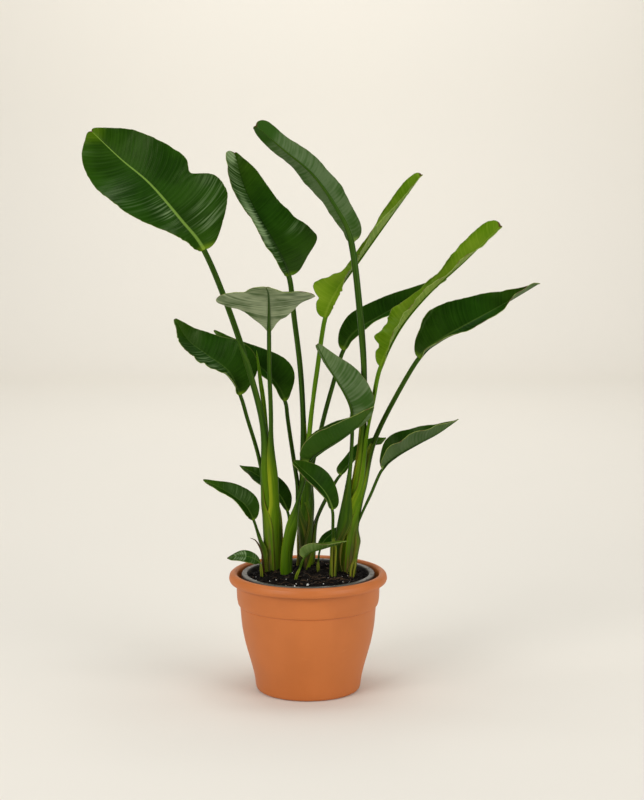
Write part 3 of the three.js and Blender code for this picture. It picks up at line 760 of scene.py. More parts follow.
def weld(bm: bmesh.types.BMesh, distance: float = 1e-4) -> None:
    """Merge doubles, close open ends and point the faces outwards.

    Args:
        bm: The shape, in millimetres.
        distance: How near two vertices are to be one.
    """
    bmesh.ops.remove_doubles(bm, verts=bm.verts, dist=distance)
    bmesh.ops.holes_fill(bm, edges=[edge for edge in bm.edges if edge.is_boundary], sides=0)
    bmesh.ops.recalc_face_normals(bm, faces=bm.faces)


def grid_places(bm: bmesh.types.BMesh, columns: int, rows: int) -> list[tuple[bmesh.types.BMVert, int, int]]:
    """Add a grid to a bmesh, and say each vertex's column and row.

    Args:
        bm: Where the grid goes.
        columns: Faces across.
        rows: Faces along.

    Returns:
        Each vertex with its column and row number.
    """
    made = bmesh.ops.create_grid(bm, x_segments=columns, y_segments=rows, size=1.0)["verts"]
    return [
        (vert, round((vert.co.x + 1) / 2 * columns), round((vert.co.y + 1) / 2 * rows))
        for vert in made
    ]


# ------------------------------------------------------------------ leaves
class Tint(Enum):
    """How young a leaf looks at its base, middle and tip, from 0 grown to 1 lime."""

    GROWN = (0.05, 0.0, 0.1)
    GROWN_LIGHT_TIP = (0.04, 0.0, 0.06)
    GROWN_LIME_TIP = (0.05, 0.0, 0.0)
    HALF = (0.3, 0.25, 0.35)
    LIME = (0.95, 0.75, 0.8)

    def youth(self, share: float) -> float:
        """How young the blade looks at a place; its base is always yellowish.

        Args:
            share: Place along the blade, 0 to 1.

        Returns:
            0 for deep green, 1 for lime.
        """
        light_tip = 0.45 * ramp(share, 0.86, 0.97) if self is Tint.GROWN_LIGHT_TIP else 0.0
        return max(along_keys(self.value, share), 0.75 * ramp(share, 0.05, 0.0), light_tip)


@dataclass(frozen=True)
class Bulge:
    """A lobe or a notch in one side's outline: its place and length as shares of the blade."""

    side: int
    at: float
    gain: float
    length: float


@dataclass(frozen=True)
class Hem:
    """A stretch of one margin that is rolled or frilled, between two shares of the blade.

    roll is how far the outermost flesh turns up, in degrees; frill is the height of its short
    waves, in millimetres.
    """

    EASE = 0.06   # share of the blade over which it comes and goes

    side: int
    start: float
    end: float
    roll: float = 0.0
    frill: float = 0.0

    def strength(self, side: int, share: float) -> float:
        """How much of it a place on the blade has.

        Args:
            side: LEFT or RIGHT.
            share: Place along the blade, 0 to 1.

        Returns:
            0 for none, 1 for all of it.
        """
        if side != self.side:
            return 0.0
        return ramp(share, self.start, self.start + self.EASE) * ramp(share, self.end, self.end - self.EASE)


@dataclass(frozen=True)
class Sheen:
    """A patch of painted sheen: pale streaks along the veins, painted where light glides over the wax.

    Its place and length are shares of the blade, out and spread are shares of the half-width.
    """

    side: int
    at: float
    length: float
    out: float
    spread: float
    gain: float

    def strength(self, side: int, share: float, reach: float) -> float:
        """How much of it a place on the blade has.

        Args:
            side: LEFT or RIGHT.
            share: Place along the blade, 0 to 1.
            reach: Place across the half, from 0 at the midrib to 1.

        Returns:
            Up to the patch's gain.
        """
        if side != self.side:
            return 0.0
        return self.gain * math.exp(
            -(((share - self.at) / self.length) ** 2) - ((reach - self.out) / self.spread) ** 2
        )


@dataclass(frozen=True)
class LeafPlan:
    """One leaf's own sizes, in millimetres and degrees.

    The sheath's radius and how far above the soil it opens; the petiole's radius at its foot and
    at the blade; points along the stalk and along the midrib; the blade's half-widths at five
    stations; where the upper face looks at the base, middle and tip; fold and curl at the same
    places, left then right; and the margin's wave as height, count and start. opens is where the
    sheath's opening looks and slit its half-angle at the foot and the mouth, in radians; keep is
    how much of the height of its mouth the sheath keeps its full width. rib is how light the
    midrib shows, below 0 how dark the painted shade of its groove is; tone is how yellow the
    sheath is and glow how much more so at its edges; frost is how grey the underside is.
    """

    name: str
    sheath: float
    mouth: float
    petiole: tuple[float, float]
    stalk: tuple[Point, ...]
    blade: tuple[Point, ...] = ()
    left: tuple[float, ...] = ()
    right: tuple[float, ...] = ()
    face: tuple[Point, Point, Point] = ((0, -1, 0.3), (0, -1, 0.5), (0, -1, 0.5))
    fold: tuple[Keys, Keys] = ((30, 25, 20), (30, 25, 20))
    curl: tuple[Keys, Keys] = ((0, 0, 0), (0, 0, 0))
    wave: Keys = (1.5, 3, 0)
    slant: tuple[float, float] = (-12, 45)
    bulges: tuple[Bulge, ...] = ()
    shared: int = 2
    opens: Point = (0, -1, 0)
    slit: tuple[float, float] = (0.06, 0.34)
    keep: float = 0.6
    glow: float = 0.45
    tint: Tint = Tint.GROWN
    ragged: float = 0.012
    ripple: float = 1.0
    worn: float = 0.35
    dry_tip: float = 0.012
    dry: float = 0.0
    rib: float = 0.3
    tone: float = 0.45
    frost: float = 0.22
    hems: tuple[Hem, ...] = ()
    sheens: tuple[Sheen, ...] = ()


@dataclass
class Section:
    """What a stalk is like at one ring.

    The room that the younger leaf needs is a circle of radius inner at offset, in a plane where
    the flattened shoot is round again; opens is the middle of the opening and mouth its half-angle.
    """

    place: Vector
    forward: Vector
    upper: Vector
    radius: float
    free: float
    stretch: float
    offset: Vector
    inner: float
    opens: Vector
    mouth: float
    clear: float
    under: float


@dataclass
class Leaf:
    """One leaf, from its sheath in the soil to the tip of its blade."""

    plan: LeafPlan
    axis: tuple[Point, ...]
    number: int
    flat: float = 1.0          # how much wider along x than along y its sheath is
    younger: "Leaf | None" = None
    row_mm: float = 2.2
    ring_mm: float = 4.0
    flesh_columns: int = 16
    outer_columns: int = 26
    inner_columns: int = 12
    smooth_mm: float = 14.0    # how far along the leaf its opening is smoothed
    lip_mm: float = 0.6        # width of the thin edge of a sheath
    wall_mm: tuple[float, float] = (0.5, 1.2)   # thinnest and thickest wall of a sheath
    least_hollow: float = 0.25   # and the smallest radius inside it, in sheath radii
    root_depth: float = 34.0   # how far its line goes on below the mix
    thickness: float = 0.8
    rib_tip: float = 0.6       # radius of the midrib at the blade's tip
    closing: float = 6.12      # a leaf without a blade closes over its length divided by this
    rib_seat: float = 0.55     # how far under the blade the midrib's axis lies, in midrib radii
    groove: float = 0.34       # depth line of the petiole's channel, in radii above its axis
    channel: float = 0.72      # half-angle of that channel's mouth, in radians
    channel_floor: float = 0.86   # width of its floor, in widths of its mouth
    turns_from: float = 0.45   # share of the stalk from which the channel turns to the upper face
    widest_mouth: float = 1.5  # half-angle that a sheath's opening reaches at most, in radians
    under_mouth: float = 1.25  # the same where the stalk runs under the blade
    under_groove: float = 0.2
    under_lead: float = 8.0    # how far before the blade the stalk starts to pass under it
    clearance: float = 0.3     # gap between a sheath and the leaf in it
    grain_radius: float = 9.0  # of the tube on which the stalk's grain is laid
    stalk_shift: float = 370   # from one leaf's grain to the next one's, on the stalk
    blade_shift: float = 900   # and on the blade
    half_shift: float = 310    # from the middle to each half's grain
    lip_fade: float = 15.0     # how far the yellow beside a sheath's opening reaches
    lining_mm: float = 8.0     # how far from that opening a sheath's inside counts as being
    front_tone: float = 0.22   # how much yellower a sheath is on the side of its opening
    pleat: float = 0.08        # height of the blade's fine pleats
    pleat_mm: float = 5.2      # and their length
    vein_bow: float = 0.22     # how far the veins bow back to the base, in half-widths
    flat_below: float = 12     # half-width under which fold and curl fade away
    blade_ends: tuple[float, float] = (0.02, 0.996)   # turn of its first vein and of its last
    on_rib: tuple[float, float] = (0.62, 1.1)    # columns over the midrib, in its radii
    ragged_mm: tuple[float, float] = (7, 2.9)    # lengths of a margin's uneven stretches
    ripple_mm: tuple[float, float] = (17, 7.5)   # lengths of the blade's loose ripples
    frill_mm: tuple[float, float, float] = (3.1, 15, 11)   # a frill's length, drift and swell
    spine: Spine = field(init=False)
    collar_at: float = field(init=False)
    heights: list[float] = field(init=False)

    def __post_init__(self) -> None:
        """Lay the leaf's line from its root to its tip."""
        x, y, z = self.axis[0]
        shared = self.axis[: self.plan.shared]
        self.spine = Spine([(x, y, z - self.root_depth), *shared, *self.plan.stalk, *self.plan.blade])
        self.collar_at = self.spine.reach_of(len(shared) + len(self.plan.stalk))
        self.heights = [
            point.z for point, reach in zip(self.spine.line, self.spine.reach) if reach <= self.collar_at
        ]

    # -------------------------------------------------------------- the stalk
    def facing(self, share: float) -> Vector:
        """Where the blade's upper face looks at a share of its length."""
        return along_directions(self.plan.face, share)

    def free_share(self, distance: float) -> float:
        """0 where the leaf is all sheath, 1 where it is all petiole."""
        above = distance - self.root_depth
        return ramp(above, self.plan.keep * self.plan.mouth, self.plan.mouth)

    def stalk_radius(self, distance: float) -> float:
        """Radius of the sheath or petiole, which closes to a point where there is no blade.

        Args:
            distance: Millimetres along the leaf's line.

        Returns:
            The radius.
        """
        petiole = mix(*self.plan.petiole, clamp01(distance / self.collar_at))
        before_tip = clamp01(self.closing * (1 - distance / self.collar_at))
        rolled = 1.0 if self.plan.blade else math.sqrt(before_tip)
        return mix(self.plan.sheath, petiole, self.free_share(distance)) * rolled

    def rib_radius(self, share: float) -> float:
        """Radius of the midrib at a share of the blade's length."""
        return mix(self.plan.petiole[1], self.rib_tip, share**0.7)

    def room_at(self, height: float) -> tuple[Vector, float] | None:
        """The room that this leaf's stalk takes at a height.

        Args:
            height: Above the floor.

        Returns:
            Where the stalk is and its radius there, or None above it.
        """
        if height >= self.heights[-1]:
            return None
        high = max(1, bisect_left(self.heights, height))
        share = (height - self.heights[high - 1]) / max(1e-6, self.heights[high] - self.heights[high - 1])
        distance = mix(self.spine.reach[high - 1], self.spine.reach[high], clamp01(share))
        return self.spine.at(distance), self.stalk_radius(distance)

    def section(self, distance: float) -> Section:
        """What the stalk is like at one place, before any smoothing.

        Args:
            distance: Millimetres from the leaf's root.

        Returns:
            The section there.
        """
        blade_length = self.spine.length - self.collar_at
        share = clamp01((distance - self.collar_at) / blade_length) if self.plan.blade else 0.0
        radius = self.stalk_radius(min(distance, self.collar_at)) if share <= 0 else self.rib_radius(share)
        place, forward, upper, _ = self.spine.frame_at(distance, self.facing(share))
        free = self.free_share(distance)
        stretch = mix(self.flat, 1, free)
        room = self.younger.room_at(place.z) if self.younger and share <= 0 else None
        turned = ramp(distance, mix(self.root_depth, self.collar_at, self.turns_from), self.collar_at)
        clear = 1.0 if self.younger else free
        mouth = mix(*self.plan.slit, ramp(distance - self.root_depth, 0, 0.8 * self.plan.mouth))
        opens = Vector(self.plan.opens).normalized()
        offset, inner = Vector(), 0.0
        if room:
            offset = room[0] - place
            offset -= forward * offset.dot(forward)
            offset.x /= stretch
            apart, inner = offset.length, room[1] + self.clearance
            clear = ramp(apart, inner * 0.8, inner + 0.8 * radius)
            turned *= ramp(apart, inner, inner + radius)
            if apart > 1e-3:
                outward = offset.normalized()
                opens = opens.lerp(outward, ramp(apart, 0.2 * inner, 1.3 * inner)).normalized()
                if abs(radius - inner) < apart < radius + inner:
                    cosine = (apart**2 + radius**2 - inner**2) / (2 * apart * radius)
                    exit_angle = math.acos(max(-1.0, min(1.0, cosine)))
                    wanted = exit_angle + 0.5 * opens.angle(outward)
                    mouth = max(mouth, min(self.widest_mouth, wanted))
        under = 0.0
        if self.plan.blade:
            under = ramp(distance, self.collar_at - self.under_lead, self.collar_at + 0.03 * blade_length)
        opens = opens.lerp(upper, turned)
        return Section(
            place, forward, upper, radius, free, stretch, offset, inner, opens,
            mix(mouth, self.channel, clear), clear, under,
        )

    def sections(self, distances: list[float]) -> list[Section]:
        """Sections along the stalk, with the opening's lips smoothed into long even lines.

        Args:
            distances: Where they are, evenly spaced.

        Returns:
            One section for each distance.
        """
        raw = [self.section(distance) for distance in distances]
        span = max(1, round(self.smooth_mm / self.ring_mm))
        near = [range(max(0, at - span), min(len(raw), at + span + 1)) for at in range(len(raw))]
        peaks = [max(raw[other].mouth for other in window) for window in near]
        opens = [sum((raw[other].opens for other in window), Vector()) / len(window) for window in near]
        clears = [sum(raw[other].clear for other in window) / len(window) for window in near]
        for at, section in enumerate(raw):
            section.mouth = sum(peaks[other] for other in near[at]) / len(near[at])
            section.opens, section.clear = opens[at], clears[at]
        return raw

    def ring(self, section: Section) -> list[tuple[Vector, float]]:
        """One ring of the stalk: an open ring round the younger leaves, or a channelled petiole.

        Args:
            section: What the stalk is like there.

        Returns:
            The points in order round the section, each with its distance from the sheath's edge.
        """
        radius, under = section.radius, section.under
        opens = section.opens.lerp(section.upper, under)
        opens = (opens - section.forward * opens.dot(section.forward)).normalized()
        side = section.forward.cross(opens)
        mouth = mix(section.mouth, self.under_mouth, under)
        groove = mix(self.groove, self.under_groove, under)
        inset = min(self.lip_mm / radius, 0.2)
        centre = section.upper * (-self.rib_seat * radius * under)
        points = []
        for step in range(self.outer_columns + 1):
            inside = mix(mouth + inset, 2 * math.pi - mouth - inset, (step - 1) / (self.outer_columns - 2))
            angle = mouth if step == 0 else 2 * math.pi - mouth if step == self.outer_columns else inside
            point = centre + (opens * math.cos(angle) + side * math.sin(angle)) * radius
            points.append((point, (math.pi - abs(angle - math.pi) - mouth) * radius))
        wall = max(self.wall_mm[0], min(self.wall_mm[1], 0.3 * radius))
        apart = section.offset.length
        for step in range(self.inner_columns + 1):
            across = 1 - 2 * step / self.inner_columns
            angle = math.pi + across * (math.pi - mouth)
            ray = opens * math.cos(angle) + side * math.sin(angle)
            along = ray.dot(section.offset)
            gap = along * along - apart * apart + section.inner * section.inner
            reach = along + math.sqrt(gap) if gap > 0 else 0.0
            reach = min(max(reach, self.least_hollow * radius), radius - wall)
            channelled = opens * (radius * mix(groove, math.cos(mouth), across * across))
            channelled += side * (-across * radius * math.sin(mouth) * self.channel_floor)
            point = centre + (ray * reach).lerp(channelled, max(section.clear, under))
            points.append((point, self.lining_mm))
        for point, _ in points:
            point.x *= section.stretch
            point += section.place
        return points

    def build_stalk(self, palette: Palette) -> bpy.types.Object:
        """Sheath, petiole and the raised midrib under the blade, as one closed skin.

        Args:
            palette: The materials.

        Returns:
            The piece.
        """
        end = self.spine.length - 3 if self.plan.blade else self.spine.length - 0.4
        rows = max(12, round(end / self.ring_mm))
        around = self.outer_columns + self.inner_columns + 2
        bm = bmesh.new()
        grain, tint, skin = [bm.verts.layers.float_vector.new(name) for name in ("grain", "tint", "skin")]
        lining = bm.verts.layers.float.new("lining")
        distances = [end * row / rows for row in range(rows + 1)]
        sections = self.sections(distances)
        rings = [self.ring(section) for section in sections]
        for vert, column, row in grid_places(bm, around, rows):
            distance, free, place = distances[row], sections[row].free, column % around
            vert.co, from_lip = rings[row][place]
            outer = place <= self.outer_columns
            lip = place in (0, self.outer_columns, self.outer_columns + 1, around - 1)
            round_share = place / self.outer_columns if outer else (around - place) / (self.inner_columns + 1)
            youth = mix(*self.plan.tint.value[:2], clamp01(distance / self.collar_at))
            near_lip = math.exp(-from_lip / self.lip_fade) * (1 - free)
            east = math.cos(round_share * math.tau) * self.grain_radius
            north = math.sin(round_share * math.tau) * self.grain_radius + self.number * self.stalk_shift
            vert[grain] = Vector((east, north, distance)) * MM
            vert[tint] = Vector((youth, 1.0 if lip else 0.0, self.plan.dry))
            risen = clamp01((distance - self.root_depth) / self.plan.mouth)
            towards = math.cos(from_lip / sections[row].radius + sections[row].mouth)
            tone = self.plan.tone + self.plan.glow * near_lip + self.front_tone * towards
            tone *= mix(0.6, 1.0, risen)
            worn = min(1.0, self.plan.worn * (0.7 + 0.9 * near_lip))
            vert[skin] = Vector((free, worn, clamp01(tone)))
            vert[lining] = 0.0 if outer or free > 0.9 else 1.0
        weld(bm)
        return finished(bm, f"{self.plan.name}_stalk", [palette[Finish.STALK]])

    # -------------------------------------------------------------- the blade
    def half_width(self, side: int, turn: float) -> float:
        """Half the blade's width at a place.

        Args:
            side: LEFT or RIGHT.
            turn: Place along the blade, 0 to 1, on a half circle.

        Returns:
            From the midrib's axis to the margin, without what is ragged.
        """
        widths = self.plan.left if side < 0 else self.plan.right
        width = max(0.0, through_values([0.0, *widths, 0.0], turn * 6))
        share = (1 - math.cos(math.pi * turn)) / 2
        for bulge in self.plan.bulges:
            if bulge.side == side:
                width *= 1 + bulge.gain * math.exp(-(((share - bulge.at) / bulge.length) ** 2))
        return width

    def vein(self, side: int, turn: float) -> list[tuple[Vector, dict[str, object]]]:
        """Points of the blade's middle surface along one vein, from the midrib to the margin.

        Args:
            side: LEFT or RIGHT.
            turn: Place along the blade, 0 to 1, on a half circle.

        Returns:
            Each point with what its materials need.
        """
        plan = self.plan
        share = (1 - math.cos(math.pi * turn)) / 2
        distance = mix(self.collar_at, self.spine.length, share)
        along = distance - self.collar_at
        centre, forward, upper, across = self.spine.frame_at(distance, self.facing(share))
        lane = self.number * 5 + side
        width = self.half_width(side, turn)
        long, short = self.ragged_mm
        uneven = wander(along / long, lane) + 0.6 * wander(along / short, lane + 0.4)
        width *= 1 + plan.ragged * uneven * ramp(share, 0.02, 0.1)
        which = 0 if side < 0 else 1
        relax = clamp01(width / self.flat_below)
        fold = math.radians(along_keys(plan.fold[which], share)) * relax
        curl = math.radians(along_keys(plan.curl[which], share)) * relax
        slant = math.radians(mix(plan.slant[0], plan.slant[1], share**1.5))
        out = across * (side * math.cos(slant)) + forward * math.sin(slant)
        roll = math.radians(sum(hem.roll * hem.strength(side, share) for hem in plan.hems))
        frill = sum(hem.frill * hem.strength(side, share) for hem in plan.hems)
        length, drift, swell = self.frill_mm
        waved = math.sin(along / length + 7 * wander(along / drift, lane + 5))
        frill *= (0.5 + 1.4 * wander(along / swell, lane + 6)) * waved
        height, waves, phase = plan.wave
        fade = min(1.0, 4 * share, 6 * (1 - share))
        lift = height * fade * math.sin(math.tau * (waves * share + phase + side / 4))
        long, short = self.ripple_mm
        loose = 1.3 * wander(along / long, lane + 2) + 0.7 * wander(along / short, lane + 3)
        lift += plan.ripple * fade * loose
        rib = min(0.3, 0.9 * self.rib_radius(share) / max(width, 0.1))
        edge = max(0.8, 1 - 1.1 / max(width, 1.5))
        top, beside = [rib * part for part in self.on_rib]
        shares = [(step + 1) / self.flesh_columns for step in range(self.flesh_columns)]
        flesh = [mix(beside, edge, 1 - (1 - part) ** 1.5) for part in shares]
        reached = [top, beside, *flesh, 1.0]
        youth = plan.tint.youth(share)
        dry = max(plan.dry, ramp(share, 1 - plan.dry_tip, 1 - 0.4 * plan.dry_tip))
        frost = plan.frost * (1 - ramp(share, 0.8, 0.88) if plan.tint is Tint.GROWN_LIME_TIP else 1)
        points = []
        place, before = centre, 0.0
        for step, reach in enumerate(reached):
            angle = fold + curl * (reach + before) / 2 + roll * ramp((reach + before) / 2, 0.76, 1.0)
            direction = out * math.cos(angle) + upper * math.sin(angle)
            normal = upper * math.cos(angle) - out * math.sin(angle)
            place = place + direction * (width * (reach - before))
            before = reach
            veined = along - self.vein_bow * width * reach * reach
            pleat = 0.0
            if step > 1:
                inside = min(1.0, 5 * reach * (1 - reach) + 0.15)
                pleat = self.pleat * wander(veined / self.pleat_mm, lane + 7) * inside * fade
            # painted sheen: how much of the pale sheen colour is painted at this point
            sheen = min(1.0, sum(patch.strength(side, share, reach) for patch in plan.sheens))
            shift = side * self.half_shift + self.number * self.blade_shift
            known = {
                "grain": Vector((width * reach, shift, veined)) * MM,
                "tint": Vector((youth, 1.0 if step == len(reached) - 1 else 0.0, dry)),
                "skin": Vector((plan.rib if step == 0 else 0.0, sheen, frost)),
            }
            points.append((place + normal * (lift * reach**2 + frill * reach**5 + pleat), known))
        return points

    def build_blade(self, palette: Palette) -> bpy.types.Object:
        """The blade as a thin pleated sheet with a wall: upper face, underside and margin.

        Args:
            palette: The materials.

        Returns:
            The piece.
        """
        length = self.spine.length - self.collar_at
        rows = max(16, round(length / self.row_mm * math.pi / 2))
        half = self.flesh_columns + 3
        bm = bmesh.new()
        layers = {name: bm.verts.layers.float_vector.new(name) for name in ("grain", "tint", "skin")}
        lines = []
        for row in range(rows + 1):
            turn = mix(*self.blade_ends, row / rows)
            left, right = self.vein(LEFT, turn), self.vein(RIGHT, turn)
            share = (1 - math.cos(math.pi * turn)) / 2
            centre = self.spine.at(mix(self.collar_at, self.spine.length, share))
            known = dict(left[0][1])
            lines.append([*reversed(left), (centre, known), *right])
        for vert, column, row in grid_places(bm, 2 * half, rows):
            vert.co, known = lines[row][column]
            for name, layer in layers.items():
                vert[layer] = known[name]
        faces = [palette[finish] for finish in (Finish.UPPER, Finish.UNDER, Finish.MARGIN)]
        piece = finished(bm, f"{self.plan.name}_blade", faces)
        sheet = piece.modifiers.new("thickness", "SOLIDIFY")
        sheet.thickness, sheet.offset = self.thickness * MM, 0.0
        sheet.material_offset, sheet.material_offset_rim = 1, 2
        return piece

    def build(self, palette: Palette, slot: str) -> None:
        """Build the stalk and the blade, and let them stand for the leaf's solid.

        Args:
            palette: The materials.
            slot: The record's material slot.
        """
        hand_over(self.build_stalk(palette), slot, self.plan.name)
        if self.plan.blade:
            hand_over(self.build_blade(palette), slot, self.plan.name)


@dataclass
class Shoot:
    """One fan of leaves on a shared axis, youngest leaf first."""

    axis: tuple[Point, ...]
    leaves: tuple[LeafPlan, ...]
    flat: float = 1.0

    def grow(self, palette: Palette, first_number: int) -> int:
        """Build every leaf of the shoot.

        Args:
            palette: The materials.
            first_number: Number of its first leaf, which seeds its wear.

        Returns:
            How many leaves it has.
        """
        younger = None
        for place, plan in enumerate(self.leaves):
            leaf = Leaf(plan, self.axis, first_number + place, self.flat, younger)
            lime = plan.tint is Tint.LIME
            slot = "dry_leaf" if plan.dry > 0.5 else "young_leaf" if lime else "leaf"
            leaf.build(palette, slot)
            younger = leaf
        return len(self.leaves)


OPEN_RIGHT = (1, -0.35, 0)
OPEN_LEFT = (-1, -0.35, 0)
OPEN_FRONT = (0.15, -1, 0)

LEFT_SHOOT = Shoot(
    axis=((-54, 20, 181), (-56, 20, 251)),
    flat=1.5,
    leaves=(
        LeafPlan(
            name="left_spear", sheath=4.6, mouth=200, petiole=(4.2, 3.6),
            stalk=((-62, 20, 347), (-69, 22, 443), (-75, 24, 490), (-81, 26, 537)),
            opens=(0.7, -0.8, 0), tint=Tint.LIME, worn=0.1, tone=0.6,
        ),
        LeafPlan(
            name="left_leaf_1", sheath=7, mouth=250, petiole=(5.4, 4.4),
            stalk=((-63, 20, 325), (-71, 14, 420), (-92, 6, 508), (-125, -2, 610), (-160, -6, 695)),
            blade=((-195, -2, 741), (-243, 8, 796), (-289, 22, 834), (-336, 40, 877)),
            left=(16, 38, 68, 58, 22), right=(36, 86, 67, 49, 18),
            face=((-0.1, -1, 0.1), (0, -1, 0.3), (-0.1, -1, 0.5)),
            fold=((50, 20, 4), (4, 8, 8)), curl=((0, 0, -10), (0, 0, -12)), wave=(2.5, 3, 0), slant=(-16, 46),
            bulges=(Bulge(RIGHT, 0.4, -0.25, 0.045), Bulge(LEFT, 0.04, 0.35, 0.03)), opens=OPEN_RIGHT,
            ripple=1.4,
            tint=Tint.GROWN_LIGHT_TIP, rib=0.75, tone=0.3, worn=0.1,
            hems=(Hem(RIGHT, 0.28, 0.5, frill=1.2), Hem(LEFT, 0.0, 0.3, frill=1.0)),
            sheens=(
                Sheen(LEFT, 0.3, 0.11, 0.25, 0.26, 0.65), Sheen(LEFT, 0.52, 0.1, 0.7, 0.3, 0.2),
                Sheen(RIGHT, 0.17, 0.08, 0.55, 0.35, 0.6), Sheen(RIGHT, 0.3, 0.05, 0.9, 0.2, 0.3),
            ),
        ),
        LeafPlan(
            name="left_leaf_2", sheath=8.8, mouth=240, petiole=(3.9, 3.4),
            stalk=((-60, 17, 335), (-58, 8, 429), (-60, 0, 508), (-60, -8, 569)),
            blade=((-59, -38, 596), (-58, -72, 619), (-58, -108, 636), (-60, -145, 647)),
            left=(9, 26, 50, 52, 28), right=(10, 36, 60, 40, 20),
            bulges=(Bulge(LEFT, 0.66, 0.36, 0.1), Bulge(RIGHT, 0.5, 0.34, 0.1)),
            face=((0, 1, 0.6), (0, 0.45, 1), (0, 0.3, 1)),
            fold=((14, -2, -14), (14, 0, -4)), wave=(2, 3, 0.2), opens=(-1, -0.1, 0), slit=(0.5, 0.6),
            tone=0.55, worn=0.3, frost=1.0,
        ),
        LeafPlan(
            name="left_leaf_3", sheath=10.6, mouth=175, petiole=(3.5, 3),
            stalk=((-59, 21, 290), (-70, 22, 331), (-81, 24, 379), (-95, 24, 426), (-107, 26, 466)),
            blade=((-126, 32, 503), (-160, 42, 528), (-190, 54, 550), (-212, 70, 582)),
            left=(10, 28, 34, 22, 8), right=(20, 50, 36, 22, 8),
            face=((0, -1, 0.3), (0.1, -1, 0.5), (0.3, -1, 0.5)),
            fold=((50, 40, 30), (6, 12, 20)), curl=((70, 10, 10), (0, 0, 0)), opens=(0.755, -0.655, 0),
            slit=(0.8, 0.87), tone=0.3, worn=0.8,
            rib=0.12, hems=(Hem(LEFT, 0.15, 0.8, frill=1.6), Hem(RIGHT, 0.1, 0.8, frill=1.4)),
            sheens=(Sheen(LEFT, 0.35, 0.25, 0.5, 0.5, 0.7),),
        ),
        LeafPlan(
            name="left_leaf_4", sheath=12.3, mouth=80, petiole=(3.6, 2.2),
            stalk=((-62, 16, 212), (-77, 9, 242), (-86, 4, 270)),
            blade=((-98, 0, 293), (-115, -4, 308), (-138, -6, 323), (-164, -6, 336)),
            left=(7, 20, 14, 11, 4), right=(11, 22, 20, 10, 4),
            face=((0, -1, 0.6), (0, -1, 0.9), (0, -1, 0.9)),
            fold=((50, 40, 30), (6, 12, 20)), wave=(1, 3, 0), shared=1, opens=(0.75, -0.65, 0),
            slit=(0.9, 1.2), keep=0.1, tone=0.4, worn=0.3,
            rib=0.2, sheens=(Sheen(RIGHT, 0.45, 0.2, 0.5, 0.4, 0.35),),
        ),
    ),
)

